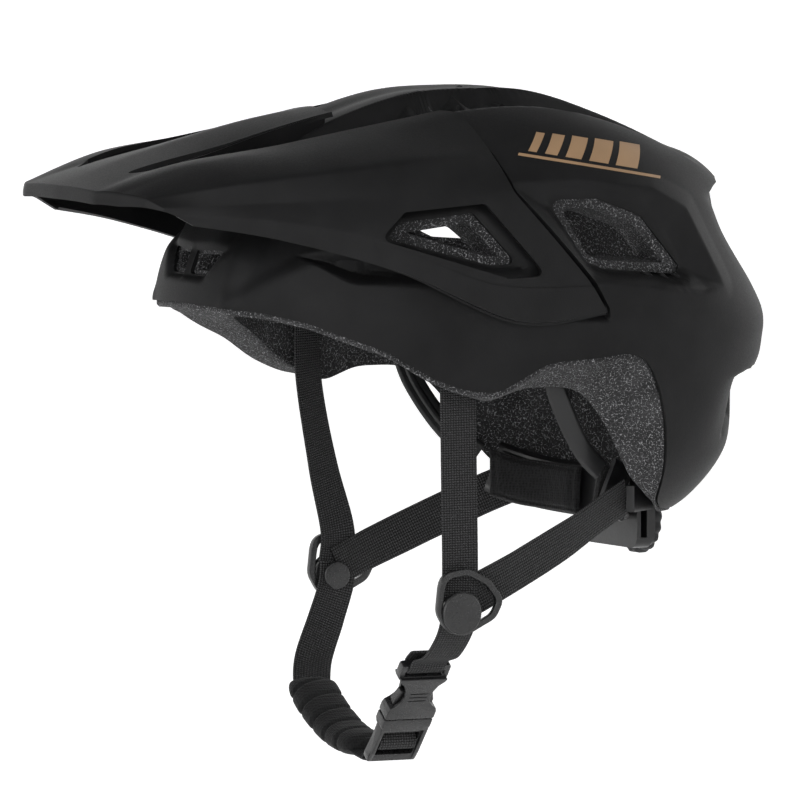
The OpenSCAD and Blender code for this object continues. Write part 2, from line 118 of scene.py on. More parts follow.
def line_distance(x, y, a, b):
    """Distance to the straight line piece from a to b"""
    ex, ey = b[0] - a[0], b[1] - a[1]
    f = np.clip(((x - a[0]) * ex + (y - a[1]) * ey) / (ex * ex + ey * ey), 0, 1)
    return np.hypot(x - a[0] - f * ex, y - a[1] - f * ey)


def outline_distance(x, y, outline):
    """Signed distance to a closed outline, negative inside"""
    p = np.asarray(outline, float)
    best = np.full(np.shape(x), 1e9)
    inside = np.zeros(np.shape(x), bool)
    for (ax, ay), (bx, by) in zip(p, np.roll(p, -1, axis=0)):
        best = np.minimum(best, line_distance(x, y, (ax, ay), (bx, by)))
        cross = (ay > y) != (by > y)
        with np.errstate(divide="ignore", invalid="ignore"):
            inside ^= cross & (x < (bx - ax) * (y - ay) / (by - ay) + ax)
    return np.where(inside, -best, best)


def rounded(outline, r, steps=5):
    """The outline with its corners rounded by radius r"""
    p = np.asarray(outline, float)
    out = []
    for a, b, c in zip(np.roll(p, 1, axis=0), p, np.roll(p, -1, axis=0)):
        u, v = unit(a - b), unit(c - b)
        half = math.acos(np.clip(u @ v, -1, 1)) / 2
        d = min(r / math.tan(half), 0.45 * np.linalg.norm(a - b), 0.45 * np.linalg.norm(c - b))
        start, end = b + u * d, b + v * d
        for k in range(steps + 1):
            f = k / steps
            out.append((1 - f) ** 2 * start + 2 * f * (1 - f) * b + f * f * end)
    return np.array(out)


def grown(outline, by):
    """The outline moved outwards by a distance, for a simple outline"""
    p = np.asarray(outline, float)
    area = np.sum(p[:, 0] * np.roll(p[:, 1], -1) - np.roll(p[:, 0], -1) * p[:, 1])
    turn = 1 if area > 0 else -1
    out = []
    for a, b, c in zip(np.roll(p, 1, axis=0), p, np.roll(p, -1, axis=0)):
        u, v = unit(b - a), unit(c - b)
        n1 = np.array([u[1], -u[0]]) * turn
        n2 = np.array([v[1], -v[0]]) * turn
        m = unit(n1 + n2)
        out.append(b + m * by / max(0.35, m @ n1))
    return np.array(out)


# ---------------------------------------------------------------- mesh makers

def new_object(name, verts, faces, uvs=None):
    mesh = bpy.data.meshes.new(name)
    mesh.from_pydata((np.asarray(verts) * MM).tolist(), [], [tuple(map(int, f)) for f in faces])
    if uvs is not None:
        layer = mesh.uv_layers.new(name="UVMap")
        loops = np.zeros(len(mesh.loops), dtype=np.int32)
        mesh.loops.foreach_get("vertex_index", loops)
        layer.data.foreach_set("uv", (np.asarray(uvs)[loops] * MM).ravel())
    mesh.validate()
    obj = bpy.data.objects.new(name, mesh)
    bpy.context.scene.collection.objects.link(obj)
    return obj


def quads(rows, cols, closed, start=0):
    """Faces of a grid of points stored row by row"""
    out = []
    for j in range(rows - 1):
        for i in range(cols if closed else cols - 1):
            k = (i + 1) % cols
            out.append((start + j * cols + i, start + j * cols + k,
                        start + (j + 1) * cols + k, start + (j + 1) * cols + i))
    return out


def recalc(obj, weld=True):
    """Turns all faces outwards, after welding points that coincide"""
    bm = bmesh.new()
    bm.from_mesh(obj.data)
    if weld:
        bmesh.ops.remove_doubles(bm, verts=bm.verts, dist=1e-6)
    bmesh.ops.recalc_face_normals(bm, faces=bm.faces)
    bm.to_mesh(obj.data)
    bm.free()


def shade(obj, angle=35):
    for poly in obj.data.polygons:
        poly.use_smooth = True
    obj.data.set_sharp_from_angle(angle=math.radians(angle))


def apply_modifiers(obj):
    graph = bpy.context.evaluated_depsgraph_get()
    mesh = bpy.data.meshes.new_from_object(obj.evaluated_get(graph))
    old = obj.data
    obj.modifiers.clear()
    obj.data = mesh
    mesh.name = obj.name
    bpy.data.meshes.remove(old)


def join(name, objects):
    """One mesh object from several, which are removed"""
    bm = bmesh.new()
    for o in objects:
        bm.from_mesh(o.data)
    mesh = bpy.data.meshes.new(name)
    bm.to_mesh(mesh)
    bm.free()
    for o in objects:
        data = o.data
        bpy.data.objects.remove(o)
        bpy.data.meshes.remove(data)
    obj = bpy.data.objects.new(name, mesh)
    bpy.context.scene.collection.objects.link(obj)
    return obj


def combine(obj, tools, operation="DIFFERENCE"):
    """Cuts each tool out of obj, or adds it, and removes the tools"""
    for tool in tools:
        m = obj.modifiers.new("cut", "BOOLEAN")
        m.operation = operation
        m.solver = "MANIFOLD"
        m.object = tool
    apply_modifiers(obj)
    for tool in tools:
        bpy.data.objects.remove(tool)


def bevel(obj, width, segments=2, angle=40):
    m = obj.modifiers.new("bevel", "BEVEL")
    m.width = width * MM
    m.segments = segments
    m.limit_method = "ANGLE"
    m.angle_limit = math.radians(angle)
    apply_modifiers(obj)


def ring_solid(name, rings, first, last):
    """Closed surface from rings that start at one point and end at another"""
    n = len(rings[0])
    m = len(rings)
    verts = np.vstack([[first], [last], np.vstack(rings)])
    faces = [(0, 2 + (i + 1) % n, 2 + i) for i in range(n)]
    faces += quads(m, n, True, 2)
    faces += [(1, 2 + (m - 1) * n + i, 2 + (m - 1) * n + (i + 1) % n) for i in range(n)]
    obj = new_object(name, verts, faces)
    recalc(obj)
    return obj


def tapered(near_outline, far_outline, place, near, far):
    """Closed prism between two outlines; place(u, v, w) puts a point at depth w"""
    n = len(near_outline)
    verts = [place(u, v, near) for u, v in np.asarray(near_outline, float)]
    verts += [place(u, v, far) for u, v in np.asarray(far_outline, float)]
    faces = [tuple(range(n)), tuple(range(2 * n - 1, n - 1, -1))]
    faces += [(i, (i + 1) % n, n + (i + 1) % n, n + i) for i in range(n)]
    obj = new_object("prism", verts, faces)
    recalc(obj)
    return obj


def prism(outline, place, near, far):
    return tapered(outline, outline, place, near, far)


def plate(name, low, top, angle=35):
    """Closed thin piece between two grids of points with the same layout"""
    low, top = np.asarray(low), np.asarray(top)
    rows, cols = low.shape[:2]
    size = rows * cols
    faces = quads(rows, cols, False)
    faces += [tuple(k + size for k in f[::-1]) for f in faces]
    edge = list(range(cols)) + [(j + 1) * cols - 1 for j in range(1, rows)]
    edge += [(rows - 1) * cols + i for i in range(cols - 2, -1, -1)]
    edge += [j * cols for j in range(rows - 2, 0, -1)]
    faces += [(a, b, b + size, a + size) for a, b in zip(edge, edge[1:] + edge[:1])]
    obj = new_object(name, np.concatenate([low.reshape(-1, 3), top.reshape(-1, 3)]), faces)
    recalc(obj)
    shade(obj, angle)
    return obj


def slab(name, grid, direction, thick):
    """A plate from a grid of points and its copy moved by thick along a direction"""
    return plate(name, grid, grid + np.asarray(direction, float) * thick)


def side_prisms(outline, near=60, far=125):
    return [prism(outline, lambda u, v, w, s=s: (s * w, u, v), near, far) for s in (1, -1)]


def top_prisms(outline, near=30, far=120):
    return [prism(outline, lambda u, v, w, s=s: (s * u, v, w), near, far) for s in (1, -1)]


def end_prisms(outline, near, far):
    return [prism(outline, lambda u, v, w, s=s: (s * u, w, v), near, far) for s in (1, -1)]


# ---------------------------------------------------------------- helmet surface

side_profile = [[0, 1], [0.3, 0.98], [0.54, 0.9], [0.75, 0.745], [0.89, 0.53], [0.963, 0.306],
                [1, 0.08], [1, -0.14], [0.98, -0.37], [0.944, -0.59], [0.88, -0.775],
                [0.766, -0.94], [0.65, -1.06]]
front_profile = [[0, 1], [0.26, 0.98], [0.52, 0.865], [0.72, 0.71], [0.855, 0.51], [0.945, 0.29],
                 [0.993, 0.08], [1, -0.12], [0.985, -0.31], [0.965, -0.49], [0.94, -0.67],
                 [0.9, -0.86], [0.85, -1.02]]
rear_profile = [[0, 1], [0.2, 0.975], [0.41, 0.88], [0.63, 0.745], [0.8, 0.58], [0.87, 0.31],
                [0.96, 0.05], [1, -0.14], [0.95, -0.37], [0.9, -0.59], [0.84, -0.79],
                [0.74, -0.96], [0.62, -1.06]]
cavity_profile = [[0, 1], [0.35, 0.955], [0.64, 0.79], [0.85, 0.54], [0.96, 0.24], [1, -0.07],
                  [1, -0.45], [0.965, -0.87], [0.9, -1.36]]
nape_profile = cavity_profile[:7] + [[1, -0.87], [0.97, -1.36]]
cavity_half_w, cavity_front, cavity_rear, cavity_h = 84, 108, 107, 72

# Edges as (angle from the side, height); -90 is the front and 90 the rear
rim_height = [[-90, 2], [-75, 1], [-60, -1], [-50, -5], [-40, -13], [-33, -19], [-26, -30],
              [-19, -37], [-12, -39], [-7, -32], [-2, -25], [7, -23], [14, -21], [18, -24],
              [22, -36], [25, -50], [28, -66], [31, -80], [36, -92], [44, -97], [90, -99]]
inner_height = [[-90, -2], [-60, -4], [-40, -17], [-27, -33], [-15, -42], [-6, -36], [4, -36],
                [10, -38], [16, -48], [22, -64], [28, -80], [37, -91], [60, -88], [90, -84]]
parting_line = [[-12, 24], [0, 23], [14, 14], [53, -19], [70, -24], [84, -31], [98, -31]]

# Vent outlines as seen from the side (Y, Z), the top (X, Y) or the front (X, Z)
front_side_vent = [[-80, 33], [-72, 41], [-38, 45], [-18, 20], [-33, 20]]
rear_side_vent = [[-1, 50], [24, 50], [49, 41], [69, 17], [66, 13], [24, 17], [15, 21]]
rear_vent_frame = [[-22, 57], [17, 58], [55, 52], [73, 43], [91, 8], [80, 5], [14, 12]]
visor_window = [[-91, 34], [-77, 46], [-36, 49], [-9, 15.5], [-29, 15]]
top_front_vent = [[25, -60], [40, -52], [41, -16], [25, -12]]
top_rear_vent = [[25, 2], [41, 6], [40, 46], [26, 52]]
tail_vent = [[23, 64], [40, 60], [35, 90], [23, 92]]
brow_vent = [[1.6, 14], [1.6, 26], [26, 27], [17, 14]]
nape_vent = [[50, -36], [66, -38], [64, -62], [52, -56]]
side_intake = [[-118, 27], [-98, 14], [-62, 13], [-55, 22], [-88, 33]]


def fuller(phi):
    return 1 + 0.05 * np.sin(2 * phi) ** 2


def loft(phi, t, side, front, rear, w, fr, rr, h):
    ahead = np.sin(phi) < 0
    s = curve(side, t)
    e = np.where(ahead[..., None], curve(front, t), curve(rear, t))
    k = np.sin(phi) ** 2
    return np.stack([s[..., 0] * w * np.cos(phi) * fuller(phi),
                     e[..., 0] * np.where(ahead, fr, rr) * np.sin(phi) * fuller(phi),
                     mix(s[..., 1], e[..., 1], k) * h], axis=-1)


def outer_raw(phi, t):
    return loft(phi, t, side_profile, front_profile, rear_profile,
                half_w, reach_front, reach_rear, crown_h)


def cavity(phi, t):
    return loft(phi, t, cavity_profile, cavity_profile, nape_profile,
                cavity_half_w, cavity_front, cavity_rear, cavity_h)


def surface_normal(surface, phi, t, e=0.01):
    a = surface(phi + e, t) - surface(phi - e, t)
    b = surface(phi, t + e) - surface(phi, t - e)
    return unit(np.cross(b, a))


def edge_place(table, surface, phi, lo, hi):
    """The profile place where a surface meets the height that an edge table gives"""
    fine = np.radians(np.arange(-180, 180, 0.5))
    folded = np.degrees(np.arcsin(np.clip(np.sin(fine), -1, 1)))
    angles, heights = np.array(table).T
    z = np.interp(folded, angles, heights)
    kernel = np.exp(-0.5 * (np.arange(-9, 10) / 3.2) ** 2)
    z = np.convolve(np.pad(z, 9, mode="wrap"), kernel / kernel.sum(), "valid")
    target = np.interp(np.mod(phi + np.pi, 2 * np.pi) - np.pi, fine, z, period=2 * np.pi)
    lo = np.full(np.shape(phi), float(lo))
    hi = np.full(np.shape(phi), float(hi))
    for _ in range(24):
        m = (lo + hi) / 2
        above = surface(phi, m)[..., 2] > target
        lo = np.where(above, m, lo)
        hi = np.where(above, hi, m)
    return (lo + hi) / 2


def roll_in(d, width, depth):
    """Depth of a rounded edge that turns down into a vent; d is the distance from its outline"""
    return depth * np.clip(1 - d / width, 0, 1.2) ** 2


def ramp_in(d, width):
    """Straight slope from 0 at d = 0 to 1 at d = -width, with a crisp crease at both ends"""
    return np.clip(-d / width, 0, 1)


# Details set into the skin: depths and widths in mm, and heights where they lie
step_flank = (34, 46)
channel_depth, channel_wall, channel_slope = 8.5, 6, 12
ridge_places = [-100, -40, 20, 70, 110]
ridge_half_widths = [19, 19, 18, 14, 9]
frame_depth, frame_slope, frame_welt = 4.6, 12, 1.4
intake_depth = 7
lip_out, lip_in, lip_fall = 2.5, 6.5, 3
ledge_depth, ledge_welt = 7.5, 1.2
brow_ridge = 1.8


def parting_step(x, y, z):
    """The rear skin stands higher than the part that the visor's arms cover"""
    behind = np.interp(z, *np.array(parting_line).T) - y
    sharp, gentle = smooth(-0.4, 0.4, behind), smooth(0, 36, behind)
    share = mix(gentle, sharp, smooth(-7, -1.5, z))
    return behind, step_depth * share * smooth(*step_flank, x)


def crown_channels(x, y, z):
    """Channels on both sides of the centre ridge"""
    ridge = np.interp(y, ridge_places, ridge_half_widths)
    along = smooth(22, 50, z) * (1 - smooth(76, 104, y))
    walls = ramp_in(ridge - x, channel_wall) * (1 - ramp_in(40 - x, channel_slope))
    return along * (channel_depth * walls + 1.2 * bump(x, ridge) ** 2)


def vent_rolls(x, y, z, side):
    """Rolled edges of the vents"""
    depth = side * roll_in(outline_distance(y, z, rear_side_vent), 5, 2.6)
    depth += side * roll_in(outline_distance(y, z, front_side_vent), 4, 2)
    for outline in (top_front_vent, top_rear_vent, tail_vent):
        depth += smooth(45, 60, z) * roll_in(outline_distance(x, y, outline), 3.5, 1.8)
    depth += (y < -80) * roll_in(outline_distance(x, z, brow_vent), 4, 2)
    depth += (y > 60) * roll_in(outline_distance(x, z, nape_vent), 4, 2)
    return depth


def spoiler(x, y, z):
    """Spoiler edge over the tail: a lip that stands out, with the surface cut in under it"""
    tail = smooth(72, 96, y) * (1 - smooth(44, 74, x))
    above = z - (57 - 0.1 * x)
    below = np.maximum(-above, 0)
    fall = np.clip(below / lip_fall, 0, 1)
    out = np.where(above >= 0, np.clip(1 - above / 30, 0, 1) ** 2, 1 - fall)
    return tail * (lip_in * fall * (1 - smooth(3, 62, below)) - lip_out * out)


def tail_ledge(x, y, z):
    """Ledge across the tail, with a soft welt above it"""
    tail = smooth(80, 100, y) * (1 - smooth(52, 84, x))
    above = z - (-27 - 0.1 * x)
    cut = ledge_depth * ramp_in(above, 3) * (1 - smooth(6, 40, -above))
    return tail * (cut - ledge_welt * bump(above - 4, 11))


def set_in(p):
    """How far the skin lies inside the plain loft at each point"""
    x, y, z = np.abs(p[..., 0]), p[..., 1], p[..., 2]
    side = smooth(55, 70, x)
    behind, depth = parting_step(x, y, z)
    depth += crown_channels(x, y, z) + vent_rolls(x, y, z, side)
    # Surround of the rear side vent: dished from its outline towards the vent
    d = outline_distance(y, z, rear_vent_frame)
    depth += side * frame_depth * ramp_in(d, frame_slope)
    depth -= side * frame_welt * np.clip(1 - np.abs(d) / 9, 0, 1) * (behind < 0)
    # Intake scoop under the visor's arm
    depth += side * intake_depth * ramp_in(outline_distance(y, z, side_intake), 6)
    depth += spoiler(x, y, z) + tail_ledge(x, y, z)
    # Soft ridge down the brow
    depth -= (y < -60) * brow_ridge * bump(line_distance(x, z, (80, 30), (40, 2)), 9)
    return depth


# Columns of a ring over half its turn: in front of the parting line, across it, and behind it
front_cols, cross_cols, rear_cols = 84, 4, 150
row_n = 172
half_turn = np.radians(np.linspace(-90, 90, 361))


def ring_phi(rim_half, share):
    """Angles of one ring, with columns that run along both edges of the parting line"""
    t = rim_half * share
    p = outer_raw(half_turn, t)
    gap = p[:, 1] - np.interp(p[:, 2], *np.array(parting_line).T)
    cross = np.interp(0, gap, half_turn) if gap[0] < 0 < gap[-1] else -math.pi / 2
    cross = float(np.clip(cross, math.radians(-66), math.radians(30)))
    reach = float(np.interp(cross, half_turn, np.linalg.norm(p[:, :2], axis=1)))
    narrow = 0.75 / max(reach, 12)
    left = np.concatenate([
        np.linspace(-math.pi / 2, cross - narrow, front_cols, endpoint=False),
        np.linspace(cross - narrow, cross + narrow, cross_cols, endpoint=False),
        np.linspace(cross + narrow, math.pi / 2, rear_cols + 1)])
    right = math.pi - left[-2:0:-1]
    return np.concatenate([left, right])


def ring_place(rim_half, phi):
    folded = np.arcsin(np.clip(np.sin(phi), -1, 1))
    return np.interp(folded, half_turn, rim_half)


def outer_rows(rim_half, rows, depth):
    """Rings of the outer surface from near the crown to the rim, moved in by depth"""
    out = []
    for j in range(1, rows + 1):
        share = (j / rows) ** 0.85
        phi = ring_phi(rim_half, share)
        t = ring_place(rim_half, phi) * share
        p = outer_raw(phi, t)
        n = surface_normal(outer_raw, phi, t)
        out.append(p - n * (depth + set_in(p))[:, None])
    return out


rim_t = edge_place(rim_height, outer_raw, half_turn, 3, 12)
inner_t = edge_place(inner_height, cavity, half_turn, 2, 8)


def vent_tools(grow, narrow=0):
    """Cutters for every vent; side vents narrow towards the inside"""
    tools = []
    for outline in (front_side_vent, rear_side_vent):
        outer = rounded(grown(outline, grow), 4)
        inner = rounded(grown(outline, grow - narrow), 2.5)
        tools += [tapered(inner, outer, lambda u, v, w, s=s: (s * w, u, v), 56, 108)
                  for s in (1, -1)]
    for outline in (top_front_vent, top_rear_vent, tail_vent):
        tools += top_prisms(rounded(grown(outline, grow), 4))
    tools += end_prisms(rounded(grown(brow_vent, min(grow, -0.4)), 2), -160, -80)
    tools += end_prisms(rounded(grown(nape_vent, grow), 4), 60, 160)
    return tools


def make_skin():
    rings = outer_rows(rim_t, row_n, 0)
    rings += outer_rows(rim_t, 16, skin_t)[::-1]
    skin = ring_solid("outer_shell_skin", rings, [0, 0, crown_h], [0, 0, crown_h - skin_t])
    combine(skin, vent_tools(-0.6))
    shade(skin, 40)
    return skin


def make_foam():
    depth = skin_t + 0.15
    rings = outer_rows(rim_t, 70, depth)
    lip = rings[-1]
    phi = ring_phi(rim_t, 1)
    edge_t = ring_place(inner_t, phi)
    inner_edge = cavity(phi, edge_t)
    # The foam's rounded lower edge stands a little below the skin
    down = np.array([0, 0, -1.0])
    rings.append(lip + down * 1.8)
    rings.append(lip * [0.992, 0.992, 1] + down * 3.0)
    start = rings[-1]
    for f in (0.2, 0.4, 0.6, 0.8, 0.93):
        rings.append(mix(start, inner_edge + down * 1.5, f))
    rings.append(inner_edge + down * 0.8)
    for j in range(44, 0, -1):
        rings.append(cavity(phi, edge_t * (j / 44)))
    foam = ring_solid("foam_liner_beads", rings, [0, 0, crown_h - depth], [0, 0, cavity_h])
    combine(foam, vent_tools(-2.5, 6))
    shade(foam, 40)
    return foam


# ---------------------------------------------------------------- visor

visor_t = 2.4
visor_lines = [
    [[0, -76, 90], [0, -108, 85], [0, -142, 77], [0, -176, 67.5], [0, -206, 57]],
    [[18, -77, 88], [22, -108, 81], [28, -142, 72], [33, -175, 64.5], [36, -204, 56]],
    [[55, -29, 89], [56, -72, 81.5], [56, -115, 74.5], [55, -158, 68.5], [50, -198, 55.5]],
    [[83, -25, 70], [87, -62, 69.5], [85.5, -105, 65.5], [79, -150, 60.5], [63, -191.5, 53.5]],
    [[95.5, -20, 53], [95, -60, 52], [91, -100, 52], [82, -145, 51], [69, -186, 49.5]],
    [[107, 13, 12], [106, -38, 15], [99, -88, 33], [87, -139, 43], [71.5, -180, 45.5]],
    [[105, 22, -3], [104, -24, -6], [98.5, -82, 19], [87, -134, 34], [72.5, -172, 41]]]
# How far each stretch between two lines bulges out
visor_bulge = [0.4, 1.2, 1.0, 0.6, 0.8, 0.2]
scoop = [[25, -186], [38, -172], [46, -150], [49, -118], [50, -55], [50, 10], [0, 10], [0, -40],
         [19, -60], [19, -84], [24, -130]]


def visor_sections(cols, rows):
    """Points of the visor's top surface as rows from the rear edge to the front edge"""
    v = np.linspace(0, 1, rows)
    lines = np.stack([curve(line, v * 4) for line in visor_lines])
    mirror = lines[1:][::-1] * [-1, 1, 1]
    lines = np.concatenate([mirror, lines])
    bulge = visor_bulge[::-1] + visor_bulge
    grid = []
    for k in range(len(lines) - 1):
        a, b = lines[k], lines[k + 1]
        along = np.gradient((a + b) / 2, axis=0)
        out = unit(np.cross(along, b - a))
        out *= np.sign(np.sum(out * ((a + b) / 2 - [0, -60, -40]), axis=-1, keepdims=True))
        out *= smooth(3, 30, np.linalg.norm(b - a, axis=-1, keepdims=True))
        for i in range(cols):
            f = i / cols
            grid.append(mix(a, b, f) + out * bulge[k] * 4 * f * (1 - f))
    grid.append(lines[-1])
    grid = np.stack(grid, axis=1)
    # Round the creases a little
    for _ in range(2):
        grid[:, 1:-1] = (grid[:, :-2] + 2 * grid[:, 1:-1] + grid[:, 2:]) / 4
    return grid


def grid_normals(grid):
    a = np.gradient(grid, axis=0)
    b = np.gradient(grid, axis=1)
    return unit(np.cross(a, b))


def front_rim(grid):
    """Rows that turn the visor's front edge down, further in the middle than at the corners"""
    to_edge = np.minimum(np.arange(grid.shape[1]), np.arange(grid.shape[1])[::-1])
    middle = smooth(14, 70, to_edge)[:, None]
    ahead = unit(grid[-1] - grid[-4])
    rows = []
    for f in np.linspace(0, 1, 9)[1:]:
        drop = np.array([0, 0, -1.0]) * (0.1 + 5.6 * middle) * f * f
        reach = 1.4 * (0.2 + middle) * math.sin(f * math.pi / 2)
        rows.append(grid[-1] + ahead * reach + drop)
    return np.stack(rows)


def fin_skirt(flip):
    """The fin's side folds down into the scoop, deeper towards its rear tip"""
    rear_tip = 0.84
    v = np.linspace(0.02, rear_tip, 60)
    edge = curve(visor_lines[1], v * 4) + [-1.2, 0, -0.8]
    fall = 2 + 8 * (1 - v / rear_tip) ** 0.7
    skirt = np.stack([edge, edge + np.outer(fall, [-0.15, 0, -1])], axis=1)
    return slab("skirt", skirt * flip, (flip[0], 0, 0.1), 1.5)


def arm_facet(grid, side):
    """Raised facet along the lower edge of the arm, fading out towards the front"""
    rows = 80
    band = grid[:rows, -15:-1] if side > 0 else grid[:rows, 1:15][:, ::-1]
    fade = 1 - smooth(44, rows - 1, np.arange(float(rows)))
    proud = fade[:, None] * np.linspace(0.6, 2.3, band.shape[1])
    return slab("facet", band, proud[..., None] * [side, 0, 0.15], 1)


def scoop_floor(flip):
    f, g = np.meshgrid(np.linspace(0, 1, 30), np.linspace(0, 1, 16), indexing="ij")
    out_edge = mix(np.array([50, -172, 65.5]), np.array([51.5, -104, 74]), f[..., None])
    in_edge = mix(np.array([30, -172, 62]), np.array([22, -112, 66.5]), f[..., None])
    floor = mix(out_edge, in_edge, g[..., None])
    floor[..., 2] -= 2.5 * np.sin(g * math.pi)
    return slab("scoop_floor", floor * flip, (0, 0, -1), 1.6)


def make_visor():
    grid = visor_sections(16, 150)
    top = np.concatenate([grid, front_rim(grid)])
    n = grid_normals(top)
    if n[75, grid.shape[1] // 2][2] < 0:
        n = -n
    visor = plate("visor_shell", top, top - n * visor_t)
    combine(visor, side_prisms(rounded(visor_window, 3.5)) + top_prisms(rounded(scoop, 3), 0, 140))
    shade(visor, 28)
    parts = [visor]
    for side, _ in both_sides:
        flip = np.array([side, 1, 1])
        parts += [fin_skirt(flip), arm_facet(grid, side), scoop_floor(flip)]
    return join("visor", parts)


# ---------------------------------------------------------------- materials

def material(name):
    mat = bpy.data.materials.new(name)
    mat.use_nodes = True
    nodes = mat.node_tree.nodes
    return mat, nodes, mat.node_tree.links, nodes["Principled BSDF"]


def ramp(nodes, links, source, stops):
    """Colour ramp fed by a socket; a stop is a place and a colour or one grey level"""
    node = nodes.new("ShaderNodeValToRGB")
    elements = node.color_ramp.elements
    while len(elements) < len(stops):
        elements.new(0.5)
    for e, (pos, colour) in zip(elements, stops):
        e.position = pos
        e.color = (*colour, 1) if isinstance(colour, tuple) else (colour, colour, colour, 1)
    links.new(source, node.inputs["Fac"])
    return node.outputs["Color"]


def noise(nodes, links, scale, detail=3, coords=None, rough=0.5):
    """Noise texture on the object's own coordinates; gives its output sockets"""
    node = nodes.new("ShaderNodeTexNoise")
    node.inputs["Scale"].default_value = scale
    node.inputs["Detail"].default_value = detail
    node.inputs["Roughness"].default_value = rough
    if coords is None:
        coords = nodes.new("ShaderNodeTexCoord").outputs["Object"]
    links.new(coords, node.inputs["Vector"])
    return node.outputs


def maths(nodes, links, operation, *values):
    """Math node fed by numbers or sockets; gives its output socket"""
    node = nodes.new("ShaderNodeMath")
    node.operation = operation
    for socket, value in zip(node.inputs, values):
        if isinstance(value, (int, float)):
            socket.default_value = value
        else:
            links.new(value, socket)
    return node.outputs[0]


def bump_chain(nodes, links, shader, layers):
    """Adds bump layers given as (height socket, strength, distance)"""
    last = None
    for socket, strength, distance in layers:
        node = nodes.new("ShaderNodeBump")
        node.inputs["Strength"].default_value = strength
        node.inputs["Distance"].default_value = distance
        links.new(socket, node.inputs["Height"])
        if last:
            links.new(last.outputs["Normal"], node.inputs["Normal"])
        last = node
    links.new(last.outputs["Normal"], shader.inputs["Normal"])


def moulded_plastic(name, colour, rough, grain=1400, grain_depth=0.00012, spread=0.25,
                    shine=0.25):
    """Matte moulded plastic: fine grain, slight waviness and uneven sheen"""
    mat, nodes, links, shader = material(name)
    fine = noise(nodes, links, grain, 2)["Fac"]
    wide = noise(nodes, links, 45, 4)["Fac"]
    lo, hi = (tuple(c * f for c in colour) for f in (1 - spread, 1 + spread))
    links.new(ramp(nodes, links, wide, [(0.3, lo), (0.7, hi)]), shader.inputs["Base Color"])
    links.new(ramp(nodes, links, fine, [(0.25, rough - 0.06), (0.75, rough + 0.06)]),
              shader.inputs["Roughness"])
    shader.inputs["Specular IOR Level"].default_value = shine
    bump_chain(nodes, links, shader, [(wide, 0.15, 0.0008), (fine, 0.35, grain_depth)])
    return mat


def bead_foam(name):
    """Moulded bead foam: dark beads with pale, broken edges"""
    mat, nodes, links, shader = material(name)
    coords = nodes.new("ShaderNodeTexCoord").outputs["Object"]
    warped = nodes.new("ShaderNodeVectorMath")
    warped.operation = "MULTIPLY_ADD"
    warped.inputs[1].default_value = (0.0016, 0.0016, 0.0016)
    links.new(noise(nodes, links, 260, 3, coords)["Color"], warped.inputs[0])
    links.new(coords, warped.inputs[2])
    beads = nodes.new("ShaderNodeTexVoronoi")
    beads.feature = "DISTANCE_TO_EDGE"
    beads.inputs["Scale"].default_value = 560
    links.new(warped.outputs[0], beads.inputs["Vector"])
    distance = beads.outputs["Distance"]
    speck = noise(nodes, links, 1300, 4, coords, 0.7)["Fac"]
    patch = noise(nodes, links, 60, 3, coords)["Fac"]
    edge = ramp(nodes, links, distance, [(0, 1), (0.11, 0)])
    fleck = ramp(nodes, links, speck, [(0.5, 0), (0.6, 1)])
    pale = nodes.new("ShaderNodeMix")
    pale.data_type = "RGBA"
    pale.inputs["B"].default_value = (0.3, 0.3, 0.31, 1)
    links.new(maths(nodes, links, "MULTIPLY", edge, fleck), pale.inputs["Factor"])
    links.new(ramp(nodes, links, patch, [(0.3, (0.009, 0.009, 0.0095)),
                                         (0.7, (0.024, 0.024, 0.025))]), pale.inputs["A"])
    links.new(pale.outputs["Result"], shader.inputs["Base Color"])
    shader.inputs["Roughness"].default_value = 0.82
    shader.inputs["Specular IOR Level"].default_value = 0.3
    dome = ramp(nodes, links, distance, [(0, 0), (0.25, 1)])
    bump_chain(nodes, links, shader, [(dome, 0.6, 0.0004), (speck, 0.3, 0.0002)])
    return mat


skin_mat = moulded_plastic("skin_matte_black", (0.0065, 0.0065, 0.0068), 0.54, shine=0.13)
visor_mat = moulded_plastic("visor_matte_black", (0.007, 0.007, 0.0073), 0.5, shine=0.15)
foam_mat = bead_foam("foam_speckled")
gloss_mat = moulded_plastic("moulded_black", (0.007, 0.007, 0.0075), 0.34, 900, 0.00006, shine=0.4)
buckle_mat = moulded_plastic("buckle_black", (0.009, 0.009, 0.0095), 0.3, 1100, 0.00005, shine=0.5)
rubber_mat = moulded_plastic("knob_rubber", (0.01, 0.01, 0.011), 0.5, 1800, 0.00008)
hook_mat = moulded_plastic("hook_nylon", (0.012, 0.012, 0.013), 0.75, 2600, 0.0004)
stripe_mat = moulded_plastic("stripe_tan", (0.3, 0.19, 0.105), 0.42, 1500, 0.00005, 0.08)


def mesh_fabric(name):
    """Knitted mesh cloth over foam"""
    mat, nodes, links, shader = material(name)
    knit = nodes.new("ShaderNodeTexVoronoi")
    knit.inputs["Scale"].default_value = 820
    knit.inputs["Randomness"].default_value = 0.35
    links.new(nodes.new("ShaderNodeTexCoord").outputs["Object"], knit.inputs["Vector"])
    holes = knit.outputs["Distance"]
    fuzz = noise(nodes, links, 2400, 3)["Fac"]
    wide = noise(nodes, links, 70, 3)["Fac"]
    links.new(ramp(nodes, links, holes, [(0.1, (0.002, 0.002, 0.002)),
                                         (0.6, (0.012, 0.012, 0.0125))]),
              shader.inputs["Base Color"])
    shader.inputs["Roughness"].default_value = 0.88
    shader.inputs["Sheen Weight"].default_value = 0.06
    shader.inputs["Sheen Roughness"].default_value = 0.5
    shader.inputs["Specular IOR Level"].default_value = 0.2
    bump_chain(nodes, links, shader, [(wide, 0.3, 0.002), (holes, 0.8, 0.0005),
                                      (fuzz, 0.3, 0.0002)])
    return mat


